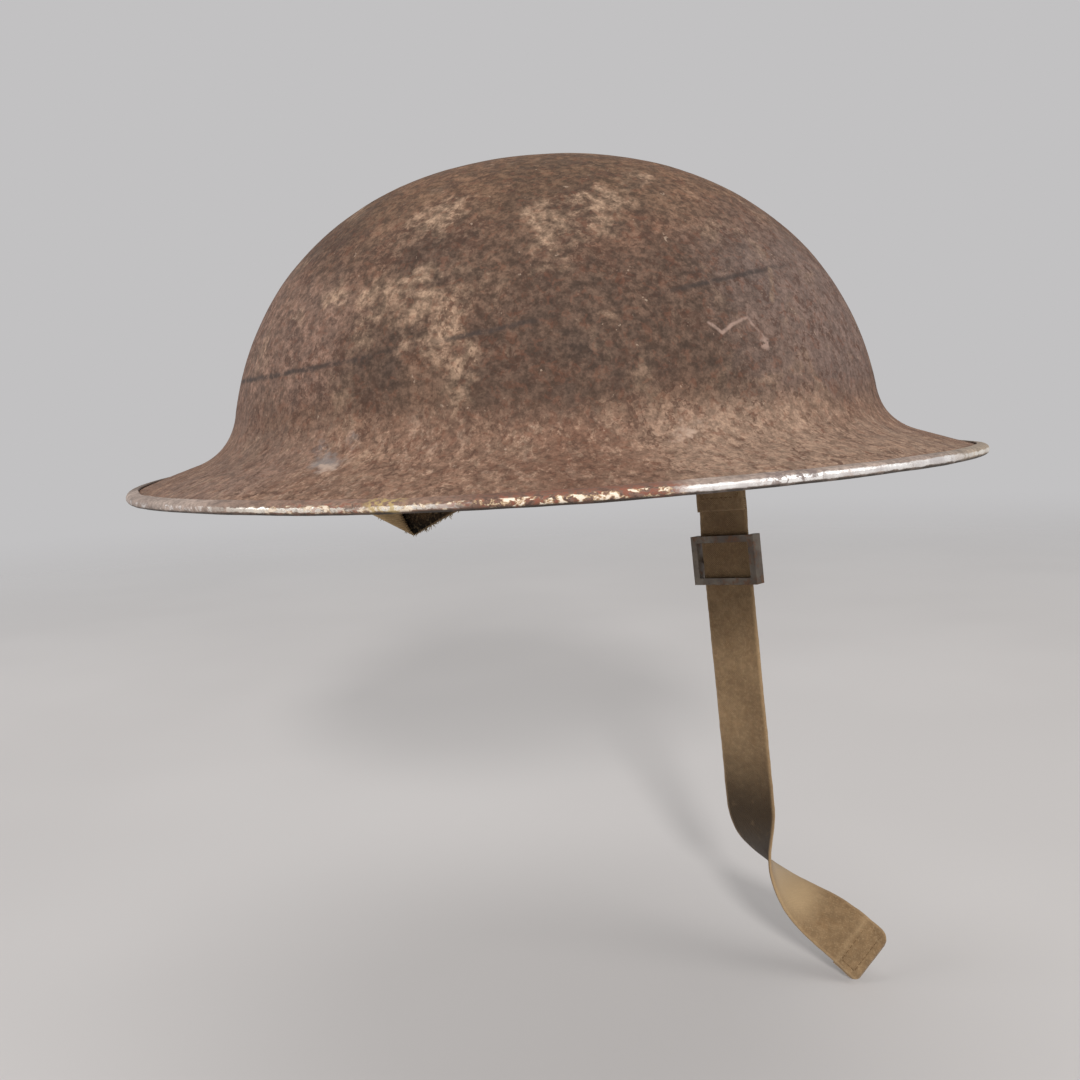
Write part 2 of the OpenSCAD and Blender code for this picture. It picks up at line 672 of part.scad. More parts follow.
// Slide buckle: end bars inside the webbing, middle bar outside it, joined by two side bars
bar_w = 3;
buckle_room = 0.3;
buckle_in_w = web_w + 2;
module slide_buckle() {
    deep = web_t / 2 + buckle_room;
    side_deep = deep + bar_t;
    mid = hang_start + hang_dir * (buckle_at - hang_from);
    color(dark_steel) translate(mid) rotate([0, 0, -lug_turn]) rotate([0, -hang_lean, 0]) {
        for (s = [-1, 1]) {
            translate([s * (buckle_in_w + bar_w) / 2, 0, 0])
                cube([bar_w, 2 * side_deep, buckle_h], center = true);
            translate([0, -deep - bar_t / 2, s * (buckle_h - bar_w) / 2])
                cube([buckle_in_w + 1, bar_t, bar_w], center = true);
        }
        translate([0, deep + bar_t / 2, 0]) cube([buckle_in_w + 1, bar_t, bar_w], center = true);
    }
}

echo(hinge_point = hinge_point, bar_point = bar_point, lug_turn = lug_turn, lug_lean = lug_lean);
echo(hang_dir = hang_dir, hang_start = hang_start, hang_end = hang_end);
echo(end_depth = end_depth, side_depth = side_depth, screw_low = screw_low, plate_top = plate_top);

shell();
rim_band();
crown_screw();
crown_washer();
crown_pad();
crown_plate();
crown_nut();
fore_aft_strap();
cross_strap();
liner_hoop();
sweatband();
lining_tongues();
lining_lace();
front_buffer();
rear_buffer();
left_buffer();
right_buffer();
strap_rivets();
buffer_rivets();
left_lug();
right_lug();
left_lug_rivet();
right_lug_rivet();
left_bail();
right_bail();
long_strap();
short_strap();
slide_buckle();
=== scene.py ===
import random
from functools import reduce
from math import acos, asin, cos, hypot, pi, radians, sin, sqrt, tan

import bpy
from mathutils import Matrix, Vector, noise


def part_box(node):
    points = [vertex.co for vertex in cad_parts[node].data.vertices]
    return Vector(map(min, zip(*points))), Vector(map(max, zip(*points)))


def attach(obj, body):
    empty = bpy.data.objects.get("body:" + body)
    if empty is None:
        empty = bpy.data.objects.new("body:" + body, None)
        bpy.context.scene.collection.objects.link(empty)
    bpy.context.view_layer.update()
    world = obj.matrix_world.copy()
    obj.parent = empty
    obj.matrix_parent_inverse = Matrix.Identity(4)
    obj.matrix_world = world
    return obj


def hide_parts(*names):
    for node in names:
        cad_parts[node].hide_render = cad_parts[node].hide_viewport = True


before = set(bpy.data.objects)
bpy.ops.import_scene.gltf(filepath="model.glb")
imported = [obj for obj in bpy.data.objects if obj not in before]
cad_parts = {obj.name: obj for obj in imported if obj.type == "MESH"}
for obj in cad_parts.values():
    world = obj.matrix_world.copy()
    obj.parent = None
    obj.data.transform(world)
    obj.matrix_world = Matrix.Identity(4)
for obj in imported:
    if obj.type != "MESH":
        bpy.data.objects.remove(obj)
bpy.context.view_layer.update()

scene = bpy.context.scene
MM = 0.001
TURN = 2 * pi
rnd = random.Random(14)


# Small helpers
def srgb(r, g, b):
    def one(c):
        c /= 255
        return c / 12.92 if c <= 0.04045 else ((c + 0.055) / 1.055) ** 2.4
    return (one(r), one(g), one(b), 1.0)


def lerp(a, b, k):
    return a + (b - a) * k


def clamp(k):
    return max(0.0, min(1.0, k))


def ease(k):
    k = clamp(k)
    return k * k * (3 - 2 * k)


def steps(a, b, n):
    """From a to b in n even steps, both ends included."""
    return [lerp(a, b, i / n) for i in range(n + 1)]


def angles(n):
    return [TURN * i / n for i in range(n)]


def around(r, th, z):
    return (r * cos(th), r * sin(th), z)


def wobble(p, size, seed=0.0):
    return noise.noise(Vector((p[0] / size + seed, p[1] / size - seed, p[2] / size + 2 * seed)))


def normals(line):
    """Each point of a flat line with the unit normal on the left of its run."""
    out = []
    for i, (a, b) in enumerate(line):
        ahead, behind = line[min(i + 1, len(line) - 1)], line[max(i - 1, 0)]
        da, db = ahead[0] - behind[0], ahead[1] - behind[1]
        d = hypot(da, db)
        out.append((a, b, -db / d, da / d))
    return out


def lattice(rows, closed=False, us=None, vs=None):
    """Points, faces and UVs over rows, each a loop; an open run of rows is capped at both ends."""
    n, m = len(rows), len(rows[0])
    faces, uvs = [], []
    for i in range(n if closed else n - 1):
        a, b = i * m, (i + 1) % n * m
        for j in range(m):
            k = (j + 1) % m
            faces.append((a + j, a + k, b + k, b + j))
            if us:
                uvs += [(us[x], vs[y]) for x, y in ((j, i), (j + 1, i), (j + 1, i + 1), (j, i + 1))]
    if not closed:
        faces += [tuple(range(m))[::-1], tuple(range((n - 1) * m, n * m))]
        uvs += [(0.0, 0.0)] * (2 * m if us else 0)
    return [p for row in rows for p in row], faces, uvs


def join(mesh, more):
    """Adds one mesh to another."""
    base = len(mesh[0])
    mesh[0].extend(more[0])
    mesh[1].extend(tuple(base + i for i in f) for f in more[1])
    mesh[2].extend(more[2])


def add_object(name, data):
    ob = bpy.data.objects.new(name, data)
    scene.collection.objects.link(ob)
    return ob


def make_piece(name, mesh, mats, replaces=(), body="helmet", attrs=None, second=None):
    """A mesh piece from points in mm, riding on a CAD body; second lists the material of each face."""
    verts, faces, uvs = mesh
    me = bpy.data.meshes.new(name)
    me.from_pydata([(x * MM, y * MM, z * MM) for x, y, z in verts], [], faces)
    for key, values in (attrs or {}).items():
        me.attributes.new(key, "FLOAT", "POINT").data.foreach_set("value", values)
    if uvs:
        me.uv_layers.new(name="mm").data.foreach_set("uv", [c for uv in uvs for c in uv])
    for mat in mats:
        me.materials.append(mat)
    me.polygons.foreach_set("use_smooth", [True] * len(faces))
    if second:
        me.polygons.foreach_set("material_index", second)
    me.update()
    ob = add_object(name, me)
    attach(ob, body)
    if replaces:
        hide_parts(*replaces)
    return ob


def put(tree, kind, values=None, **props):
    """A shader node with its properties, its inputs linked or set."""
    n = tree.nodes.new("ShaderNode" + kind)
    for k, v in props.items():
        setattr(n, k, v)
    for k, v in (values or {}).items():
        if isinstance(v, bpy.types.NodeSocket):
            tree.links.new(v, n.inputs[k])
        else:
            n.inputs[k].default_value = v
    return n


class Mat:
    """A material, and a short way to put its nodes together."""

    def __init__(self, name, rough, spec, **sockets):
        self.mat = bpy.data.materials.new(name)
        self.mat.use_nodes = True
        self.mat.node_tree.nodes.clear()
        self.shader = self.put("BsdfPrincipled", {"Roughness": rough, "Specular IOR Level": spec})
        for k, v in sockets.items():
            self.shader.inputs[k.replace("_", " ")].default_value = v
        self.out = self.put("OutputMaterial", {0: self.shader.outputs[0]})
        self.co = self.put("TexCoord").outputs["Object"]

    def put(self, kind, values=None, **props):
        return put(self.mat.node_tree, kind, values, **props)

    def stretched(self, x, y, z):
        return self.put("Mapping", {"Vector": self.co, "Scale": (x, y, z)}).outputs[0]

    def noise(self, scale, detail=4, rough=0.6, warp=0.0, co=None, out="Fac"):
        return self.put("TexNoise", {"Vector": co or self.co, "Scale": scale, "Detail": detail,
                                     "Roughness": rough, "Distortion": warp}).outputs[out]

    def crack_distance(self, scale):
        values = {"Vector": self.co, "Scale": scale}
        return self.put("TexVoronoi", values, feature="DISTANCE_TO_EDGE").outputs[0]

    def step(self, value, lo, hi, a=0.0, b=1.0):
        values = {"Value": value, "From Min": lo, "From Max": hi, "To Min": a, "To Max": b}
        return self.put("MapRange", values, interpolation_type="SMOOTHSTEP").outputs[0]

    def math(self, op, *values):
        return self.put("Math", dict(enumerate(values)), operation=op).outputs[0]

    def mul(self, *parts):
        return reduce(lambda a, b: self.math("MULTIPLY", a, b), parts)

    def most(self, *parts):
        return reduce(lambda a, b: self.math("MAXIMUM", a, b), parts)

    def least(self, *parts):
        return reduce(lambda a, b: self.math("MINIMUM", a, b), parts)

    def inv(self, value):
        return self.math("SUBTRACT", 1.0, value)

    def vec(self, op, a, b):
        """Vector arithmetic; SCALE takes a number as its second value."""
        n = self.put("VectorMath", {0: a, 3 if op == "SCALE" else 1: b}, operation=op)
        return n.outputs["Value" if op in ("DISTANCE", "DOT_PRODUCT") else 0]

    def polar(self):
        """The point's heading, radius and height."""
        x, y, z = self.put("SeparateXYZ", {0: self.co}).outputs
        square = self.math("ADD", self.mul(x, x), self.mul(y, y))
        return self.math("ARCTAN2", y, x), self.math("SQRT", square), z

    def xyz(self, x, y, z):
        return self.put("CombineXYZ", {0: x, 1: y, 2: z}).outputs[0]

    def attr(self, name):
        return self.put("Attribute", attribute_name=name).outputs["Fac"]

    def mix(self, fac, a, b, how="MIX"):
        return self.put("Mix", {0: fac, 6: a, 7: b}, data_type="RGBA", blend_type=how).outputs[2]

    def base(self, value, lo, hi, a, b):
        """Starts with two colours that change over along a noise's values."""
        self.col = self.mix(self.step(value, lo, hi), srgb(*a), srgb(*b))

    def over(self, fac, share, *rgb):
        """Lays a colour over what is there, where fac is high, at a share of its strength."""
        self.col = self.mix(self.mul(fac, share), self.col, srgb(*rgb))

    def shade(self, value, edge, a, b, fac=1.0):
        """Changes the brightness from a to b along a noise's middle values."""
        self.col = self.mix(fac, self.col, self.step(value, edge, 1 - edge, a, b), "MULTIPLY")

    def spots(self, co, *places):
        """1 at places given in mm, fading to 0 at their size: (x, y, z, size)."""
        parts = []
        for x, y, z, size in places:
            d = self.vec("DISTANCE", co, (x * MM, y * MM, z * MM))
            parts.append(self.step(d, size * MM, size * MM * 0.35))
        return self.most(*parts)

    def scratch(self, co, *points):
        """Distance in metres to a line through points given in mm."""
        parts = []
        for a, b in zip(points, points[1:]):
            a, b = Vector(a) * MM, Vector(b) * MM
            ba = b - a
            pa = self.vec("SUBTRACT", co, tuple(a))
            along = self.vec("DOT_PRODUCT", pa, tuple(ba / ba.dot(ba)))
            foot = self.vec("SCALE", tuple(ba), self.least(self.most(along, 0.0), 1.0))
            parts.append(self.vec("DISTANCE", pa, foot))
        return self.least(*parts)

    def done(self, bumps=(), rough=None, metallic=None):
        """The finished material; bumps are (height, distance, strength), each on top of the last."""
        bump = {}
        for height, distance, strength in bumps:
            bump.update(Height=height, Distance=distance, Strength=strength)
            bump["Normal"] = self.put("Bump", bump).outputs[0]
        for k, v in (("Base Color", self.col), ("Roughness", rough), ("Metallic", metallic),
                     ("Normal", bump.get("Normal"))):
            if v is not None:
                self.mat.node_tree.links.new(v, self.shader.inputs[k])
        return self.mat


# Camera, at the photograph's angle
eye = Vector((0.21873, -0.34118, 0.02062))
ahead = Vector((-0.5471, 0.8284, -0.1204)).normalized()
right = ahead.cross(Vector((-0.028, 0.1257, 0.9917))).normalized()
up = right.cross(ahead).normalized()
cam_data = bpy.data.cameras.new("camera")
cam_data.lens = 36.0
cam_data.sensor_width = 36.0
cam_data.clip_start = 0.01
camera = add_object("camera", cam_data)
camera.matrix_world = Matrix.Translation(eye) @ Matrix((right, up, -ahead)).transposed().to_4x4()
scene.camera = camera


# Materials
def rust_shell():
    m = Mat("rusted_shell", 0.85, 0.2)
    warp = m.vec("SUBTRACT", m.noise(75, 4, 0.65, out="Color"), (0.5, 0.5, 0.5))
    warped, shaken, stirred = (m.vec("ADD", m.co, m.vec("SCALE", warp, k)) for k in (0.03, 0.0021, 0.0015))
    large, blot, mottle = m.noise(9, 5, 0.6, 0.4), m.noise(42, 5, 0.62, 0.5), m.noise(150, 5, 0.62, 0.4)
    speck, grain, flake = m.noise(430, 3), m.noise(1300, 2), m.noise(210, 3, 0.6, 0.8, warped)
    heading, radius, z = m.polar()
    m.base(large, 0.36, 0.64, (95, 74, 61), (115, 91, 76))
    m.over(m.step(blot, 0.44, 0.6), 0.5, 108, 80, 66)
    # grey-brown zones of the near side and the crown, partly the rust's own blotches and partly painted shade
    # that keeps the dome's middle dark under the front lamp; the paler ends, a painted sheen where the dome
    # turns away; a warmer crown and a mauve front
    dark = m.spots(
        warped, (62, -84, 38, 46), (86, -62, 46, 36), (95, -55, 26, 24), (20, -86, 66, 24), (-30, -70, 84, 30),
        (-50, 84, 40, 34), (10, -101, 32, 24), (48, -99, 23, 26), (93, -38, 61, 20), (42, -50, 92, 40))
    m.over(dark, 0.8, 79, 63, 54)
    ends = m.spots(
        warped, (-60, -82, 40, 48), (-96, -40, 40, 46), (-26, -98, 44, 34), (112, -6, 44, 34), (70, 80, 40, 40))
    m.over(ends, 0.7, 127, 102, 90)
    m.over(m.step(z, 0.066, 0.096), 0.3, 116, 88, 62)
    mauve = m.spots(warped, (112, -18, 48, 56))
    m.over(mauve, 0.65, 109, 94, 89)
    # the brim: warmer and paler, with flecks drawn out from the crown to the edge
    low = m.math("SUBTRACT", m.step(z, 0.027, 0.014), m.mul(m.spots(warped, (-44, -100, 28, 48)), 0.5))
    drawn = m.xyz(m.mul(heading, 0.13), m.mul(radius, 0.4), z)
    dome = m.col
    m.base(blot, 0.38, 0.64, (119, 92, 77), (134, 106, 89))
    m.over(m.step(m.noise(170, 5, 0.68, 0.3, drawn), 0.52, 0.66), 0.7, 162, 136, 118)
    m.over(m.step(m.noise(230, 4, 0.66, 0.3, drawn), 0.54, 0.68), 0.7, 92, 66, 54)
    m.over(m.spots(warped, (112, -66, 7, 52)), 0.6, 160, 136, 118)
    m.over(m.spots(warped, (142, -14, 4, 34)), 0.5, 162, 138, 120)
    m.over(m.spots(warped, (78, -98, 6, 30)), 0.45, 104, 74, 60)
    m.over(m.spots(warped, (-40, -118, 4, 44)), 0.5, 140, 117, 106)
    m.over(m.step(m.noise(400, 4, 0.68, 0.3, drawn), 0.54, 0.64), 0.6, 164, 136, 116)
    m.over(m.step(m.noise(470, 4, 0.68, 0.3, drawn), 0.54, 0.64), 0.6, 92, 62, 50)
    m.col = m.mix(m.mul(m.most(low, 0.0), 0.9), dome, m.col)
    # tan patches, broken up by their own noise
    patch = m.spots(
        warped, (27, -100, 46, 16), (20, -97, 56, 11), (30, -97, 52, 12), (5, -101, 52, 12), (36, -100, 35, 8),
        (55, -71, 71, 12), (59, -59, 79, 12), (47, -70, 77, 11), (15, -79, 77, 12), (62, -38, 88, 8),
        (57, -65, 75, 10), (-15, -96, 56, 9), (38, -101, 27, 9), (-70, 60, 60, 14), (20, 95, 50, 14),
        (-100, -20, 40, 12))
    patch = m.mul(patch, m.step(mottle, 0.34, 0.58))
    strewn = m.mul(m.step(m.noise(60, 6, 0.66, 0.5), 0.54, 0.68), 0.5)
    m.over(m.most(patch, strewn), 0.72, 154, 129, 109)
    # brightness at three sizes, then dark red flakes, rust and pale specks
    near_edge, in_mauve = m.step(z, 0.036, 0.014), m.mul(mauve, 0.45)
    calm = m.inv(m.most(m.mul(near_edge, 0.6), in_mauve))
    lively = m.inv(m.most(m.mul(near_edge, 0.35), in_mauve))
    m.shade(mottle, 0.36, 0.8, 1.18, calm)
    m.shade(speck, 0.36, 0.66, 1.3, lively)
    m.shade(grain, 0.34, 0.84, 1.16)
    spread = m.step(blot, 0.42, 0.56, 0.25, 1.0)
    m.over(m.mul(m.step(flake, 0.52, 0.6), spread), 0.6, 72, 50, 41)
    m.over(m.step(m.noise(380, 3, 0.6, 0.6), 0.52, 0.68), 0.3, 120, 78, 60)
    m.over(m.step(m.noise(320, 3, 0.65), 0.68, 0.73), 0.6, 170, 148, 130)
    # a dark scuff line: one plane through the dome, broken by noise
    n = Vector((-0.086, -0.1687, 0.9819)).normalized()
    on_line = Vector((27.8, -84.2, 43.2)) * MM
    away = m.math("ABSOLUTE", m.math("SUBTRACT", m.vec("DOT_PRODUCT", stirred, tuple(n)), on_line.dot(n)))
    parts = m.spots(m.co, (-44, -97, 35, 72), (42, -96, 42, 20), (94, -44, 56, 34))
    scuff = m.mul(m.step(away, 0.0013, 0.0001), parts, m.step(speck, 0.72, 0.5, 0.35, 1.0))
    m.over(scuff, 0.75, 56, 50, 48)
    # a thin pale scratch with a chip at its end, and a pale run below the scuff
    thin = m.scratch(shaken, (91.6, -58.9, 42.5), (94.8, -56.7, 39.3), (96.4, -53.4, 41.6),
                     (98.7, -47.1, 43.5), (99.8, -47, 41.5), (101.9, -45.1, 38.6), (102.8, -45.1, 36.3))
    thin = m.mul(m.step(thin, 0.0008, 0.0002), m.step(speck, 0.34, 0.5, 0.6, 1.0))
    chip = m.mul(m.spots(shaken, (103, -45.5, 36, 2.8)), m.step(speck, 0.42, 0.54))
    m.over(m.most(thin, chip), 0.6, 174, 148, 136)
    run = m.scratch(m.co, (98.6, -29.3, 58.3), (100.2, -32.9, 53.5), (101.6, -36, 48.9))
    run = m.mul(m.step(run, 0.0014, 0.0002), m.step(speck, 0.36, 0.6, 0.2, 1.0))
    m.over(run, 0.5, 150, 126, 106)
    # two bare marks on the brim, and a few further round
    m.over(m.spots(warped, (-1, -116, 10, 9)), 0.55, 132, 130, 130)
    pale = m.spots(warped, (2, -119, 8, 5), (92, -73, 14, 5), (60, 115, 10, 6), (-120, 30, 10, 6))
    m.over(pale, 0.6, 190, 166, 150)
    bumps = [(blot, 0.0012, 0.3), (m.mul(mottle, calm), 0.0006, 0.4),
             (m.mul(speck, calm), 0.00025, 0.4), (grain, 0.0001, 0.3)]
    return m.done(bumps, m.step(mottle, 0.3, 0.7, 0.68, 0.88))


def inner_steel():
    m = Mat("inner_steel", 0.85, 0.3)
    big, mid, fine = m.noise(14, warp=0.3), m.noise(70), m.noise(600, 3)
    m.base(big, 0.35, 0.65, (84, 66, 56), (112, 84, 66))
    m.over(m.step(mid, 0.52, 0.7), 1.0, 66, 53, 47)
    m.over(m.step(fine, 0.55, 0.7), 0.7, 135, 88, 58)
    return m.done([(mid, 0.0006, 0.4), (fine, 0.0003, 0.6)], m.step(mid, 0.3, 0.7, 0.75, 0.95))


def worn_rim():
    m = Mat("worn_rim", 0.6, 0.5)
    heading, radius, z = m.polar()
    # coordinates that draw spots out along the rim
    long = m.xyz(m.mul(heading, 0.1), z, radius)
    nose, under, painted_gap_shade = m.attr("nose"), m.attr("under"), m.attr("painted_gap_shade")
    big, mid, fine = m.noise(26, warp=0.3), m.noise(190, 5, 0.7), m.noise(700, 3, 0.65)

    def arc(a, b, soft):
        """1 between two headings, in degrees."""
        a, b, s = radians(a), radians(b), radians(soft)
        return m.mul(m.step(heading, a - s, a + s), m.step(heading, b + s, b - s))

    # the flange: grey-brown, browner on the near side, dark and dull at the rear
    m.base(big, 0.35, 0.65, (146, 129, 120), (164, 147, 137))
    m.over(arc(-98, -48, 9), 0.85, 126, 98, 82)
    m.over(m.most(arc(-200, -134, 5), arc(130, 200, 10)), 0.8, 104, 88, 78)
    m.over(arc(-8, 30, 8), 0.5, 142, 130, 108)
    m.shade(mid, 0.34, 0.74, 1.2)
    m.shade(fine, 0.34, 0.78, 1.18)
    # steel worn bright on the nose, wide at the front and narrow along the near side; near-white and laid where
    # the lamps' glints fall, so partly real wear and partly a painted highlight
    chips = m.noise(380, 5, 0.72, 0.4, long)
    ragged = m.math("ADD", nose, m.math("SUBTRACT", chips, 0.5))
    narrow = m.step(ragged, 0.6, 0.78)
    broken = m.mul(arc(-37, -30, 2), m.step(m.noise(420, 4, 0.7, 0.6), 0.53, 0.47, 0.0, 0.85))
    zone = m.mul(m.most(arc(-46, -8, 4), arc(20, 50, 8)), m.inv(broken))
    thin = m.most(arc(-95, -68, 5), arc(-8, 22, 4), arc(112, 150, 8))
    left = m.mul(arc(-118, -94, 5), m.step(chips, 0.5, 0.58, 0.0, 0.25))
    thin = m.mul(thin, m.step(chips, 0.4, 0.46, 0.35, 1.0))
    thin = m.mul(narrow, m.most(thin, left, m.step(chips, 0.52, 0.6, 0.0, 0.5)))
    worn_steel_and_glint = m.most(m.mul(zone, m.step(ragged, 0.44, 0.6)), thin)
    # brown rust, red and cream chips and a yellow blob on the near edge
    front = arc(-66, -45, 2)
    m.over(front, 0.8, 108, 78, 64)
    pits = m.step(m.noise(620, 4, 0.7, 0.5, long), 0.4, 0.34)
    worn_steel_and_glint = m.mul(worn_steel_and_glint, m.inv(m.mul(front, 0.9)), m.inv(m.mul(pits, 0.6)))
    dull = m.col
    # the near-white colour of the worn steel, in part a painted highlight
    m.base(m.noise(120), 0.38, 0.6, (222, 216, 214), (252, 249, 247))
    m.over(m.most(arc(-6, 30, 4), arc(-100, -68, 5)), 0.4, 238, 226, 200)
    m.col = m.mix(worn_steel_and_glint, dull, m.col)
    m.over(broken, 0.6, 96, 82, 84)
    near = m.mul(arc(-88, -62, 4), m.step(big, 0.44, 0.52, 0.2, 0.8))
    near = m.mul(m.most(front, near, arc(60, 80, 5), arc(-180, -172, 3)), m.step(nose, 0.0, 0.1, 0.55, 1.0))
    rusty = m.noise(640, 4, 0.65, 0.6, long)
    red, scab = m.mul(near, m.step(rusty, 0.5, 0.57)), m.mul(near, m.step(rusty, 0.46, 0.4))
    m.over(red, 0.75, 136, 78, 58)
    m.over(scab, 0.7, 72, 50, 42)
    flecks = m.noise(560, 3, 0.6, 0.4, long)
    cream = m.most(front, m.mul(arc(-90, -66, 3), 0.7), arc(60, 80, 5))
    cream = m.mul(cream, m.step(nose, 0.22, 0.5), m.step(flecks, 0.5, 0.56))
    m.over(cream, 0.85, 196, 166, 130)
    m.over(m.mul(cream, m.step(flecks, 0.55, 0.61)), 1.0, 240, 226, 208)
    yellow = m.mul(arc(-76.5, -72.5, 0.8), m.step(m.noise(520, 3, 0.65), 0.44, 0.54))
    m.over(yellow, 0.85, 176, 152, 102)
    # painted shade under the nose, in place of the dark its underside would reflect, and a painted dark line of
    # shade at the flange's edge, where it meets the shell
    streak = m.noise(330, 4, 0.65, 0.3, long)
    m.over(under, m.step(streak, 0.4, 0.52, 0.6, 0.95), 50, 43, 37)
    m.over(painted_gap_shade, 0.45, 62, 50, 44)
    bare = m.mul(worn_steel_and_glint, m.step(m.most(red, scab, cream, under, yellow), 0.5, 0.1))
    bumps = [(mid, 0.0004, 0.5), (fine, 0.0002, 0.5), (cream, 0.0002, 0.5)]
    return m.done(bumps, m.math("SUBTRACT", 0.72, m.mul(bare, 0.4)), m.mul(bare, 0.7))


def steel_fitting(name, light, dark, rust, rough):
    m = Mat(name, rough, 0.45)
    big, mid, fine = m.noise(60, warp=0.3), m.noise(260, 4, 0.65), m.noise(900, 3)
    m.base(big, 0.35, 0.65, dark, light)
    m.over(m.step(mid, 0.5, 0.66), 0.8, *rust)
    m.over(m.step(fine, 0.56, 0.7), 0.5, 50, 42, 38)
    worn = m.step(mid, 0.35, 0.65, rough - 0.15, rough + 0.15)
    return m.done([(mid, 0.0003, 0.5), (fine, 0.00012, 0.5)], worn)


def webbing(name, light, dark, marks=False):
    m = Mat(name, 0.92, 0.2, Sheen_Weight=0.15 if marks else 0.0, Sheen_Roughness=0.5)
    u, v, _ = m.put("SeparateXYZ", {0: m.put("UVMap", uv_map="mm").outputs[0]}).outputs

    def wave(along, pitch):
        return m.math("SINE", m.mul(along, TURN / pitch))

    # plain weave: two crossed waves that change over from thread to thread, over ribs
    weave = m.math("ADD", m.mul(wave(u, 1.1), wave(v, 0.9)), m.mul(m.math("ABSOLUTE", wave(u, 2.2)), 0.5))
    big, mid, fine = m.noise(30, warp=0.2), m.noise(130, warp=0.4), m.noise(1200, 2)
    m.base(big, 0.36, 0.66, dark, light)
    m.over(m.step(mid, 0.48, 0.68), 0.4, 122, 94, 64)
    m.shade(m.noise(420, 3), 0.34, 0.88, 1.1)
    m.over(m.step(weave, 0.4, -0.8), 0.28, 92, 70, 46)
    m.over(m.step(fine, 0.5, 0.7), 0.2, 190, 166, 130)
    # selvedges rubbed paler
    side = m.step(m.math("ABSOLUTE", u), 10.8, 12.3)
    m.over(side, 0.35, 184, 156, 120)
    if marks:
        # the inner face above the twist is darkened, partly a sweat stain and partly painted shadow of the head
        # it ran under; the tail just below the twist is painted paler, painted light where it faces the lamps
        z, inner = m.put("SeparateXYZ", {0: m.co}).outputs[2], m.attr("inner")
        stain_and_shadow = m.mul(m.step(z, -0.12, -0.166), m.step(z, -0.214, -0.2), inner, m.inv(m.mul(side, 0.6)))
        m.over(m.mul(stain_and_shadow, m.step(mid, 0.3, 0.44, 0.8, 1.0)), 0.9, 40, 28, 14)
        m.over(m.mul(m.spots(m.co, (50, 101, -197, 22)), m.inv(inner)), 0.75, 182, 156, 120)
        # a pale band where the hem starts, a painted highlight along the ridge that the folded end raises
        m.over(m.mul(m.attr("hem"), m.step(fine, 0.3, 0.5, 0.5, 1.0)), 0.3, 172, 146, 112)
    return m.done([(weave, 0.00016, 0.5), (mid, 0.0004, 0.3), (fine, 0.00012, 0.5)])


def leathercloth():
    m = Mat("leathercloth", 0.6, 0.4)
    big, mid = m.noise(40, warp=0.3), m.noise(170, 4, 0.65)
    m.base(big, 0.35, 0.65, (26, 24, 23), (40, 37, 35))
    m.over(m.step(mid, 0.56, 0.72), 0.6, 86, 72, 58)
    grain = m.step(m.crack_distance(900), 0.0, 0.12)
    return m.done([(mid, 0.0004, 0.4), (grain, 0.00012, 0.6)], m.step(mid, 0.35, 0.65, 0.48, 0.7))


def felt():
    m = Mat("felt", 0.97, 0.15, Sheen_Weight=0.3)
    big, mid = m.noise(50), m.noise(240, 5, 0.7, 0.6)
    hair = m.noise(600, 3, 0.7, 1.5, m.stretched(1.0, 2.2, 1.4))
    m.base(big, 0.35, 0.65, (116, 108, 98), (146, 136, 122))
    m.over(m.step(hair, 0.5, 0.68), 0.5, 86, 78, 70)
    m.over(m.step(mid, 0.58, 0.7), 0.5, 112, 84, 60)
    return m.done([(mid, 0.0006, 0.5), (hair, 0.0003, 0.7)])


def fibre():
    m = Mat("fibre", 0.6, 0.45)
    big, mid = m.noise(30, warp=0.3), m.noise(120, 4, 0.65)
    streak = m.noise(300, 3, 0.6, 0.0, m.stretched(1.0, 1.0, 7.0))
    m.base(big, 0.35, 0.65, (78, 50, 34), (104, 70, 46))
    m.over(m.step(streak, 0.45, 0.7), 0.4, 58, 38, 27)
    m.over(m.step(mid, 0.6, 0.72), 0.5, 134, 104, 74)
    return m.done([(mid, 0.0003, 0.4), (streak, 0.00012, 0.5)], m.step(mid, 0.35, 0.65, 0.5, 0.75))


def rubber():
    m = Mat("rubber", 0.82, 0.35)
    big, fine = m.noise(60), m.noise(700, 3)
    cracks = m.step(m.crack_distance(260), 0.03, 0.0)
    m.base(big, 0.35, 0.65, (46, 43, 41), (66, 61, 57))
    m.over(cracks, 0.7, 28, 26, 25)
    m.over(m.step(fine, 0.58, 0.7), 0.4, 110, 100, 88)
    return m.done([(fine, 0.0002, 0.4), (cracks, -0.0003, 0.5)])


def thread(name, light, dark):
    m = Mat(name, 0.95, 0.2)
    mid, fine = m.noise(90), m.noise(1500, 2)
    m.base(mid, 0.36, 0.64, dark, light)
    m.over(m.step(fine, 0.5, 0.7), 0.4, 120, 104, 80)
    return m.done([(fine, 0.0002, 0.5)])


shell_mat, rim_mat, leather = rust_shell(), worn_rim(), leathercloth()
strap_mat = webbing("webbing", (141, 116, 86), (122, 98, 71), True)
# the torn stub's webbing in two copies: near-black, painted shade under the brim, and pale, painted light on
# its folded corner
torn_mats = [webbing("webbing_painted_shade", (15, 13, 11), (10, 9, 8)),
             webbing("webbing_torn_painted_light", (204, 178, 138), (172, 146, 108))]
dull_thread = thread("thread", (116, 90, 62), (100, 76, 52))
pale_thread = thread("pale_thread", (186, 170, 142), (150, 132, 104))
cotton = thread("cotton", (186, 172, 142), (150, 134, 104))
fibre_mat, rubber_mat = fibre(), rubber()
steel = steel_fitting("rusted_fittings", (116, 98, 86), (84, 70, 62), (112, 72, 48), 0.7)
buckle_steel = steel_fitting("buckle_steel", (128, 118, 106), (92, 80, 70), (118, 82, 56), 0.55)


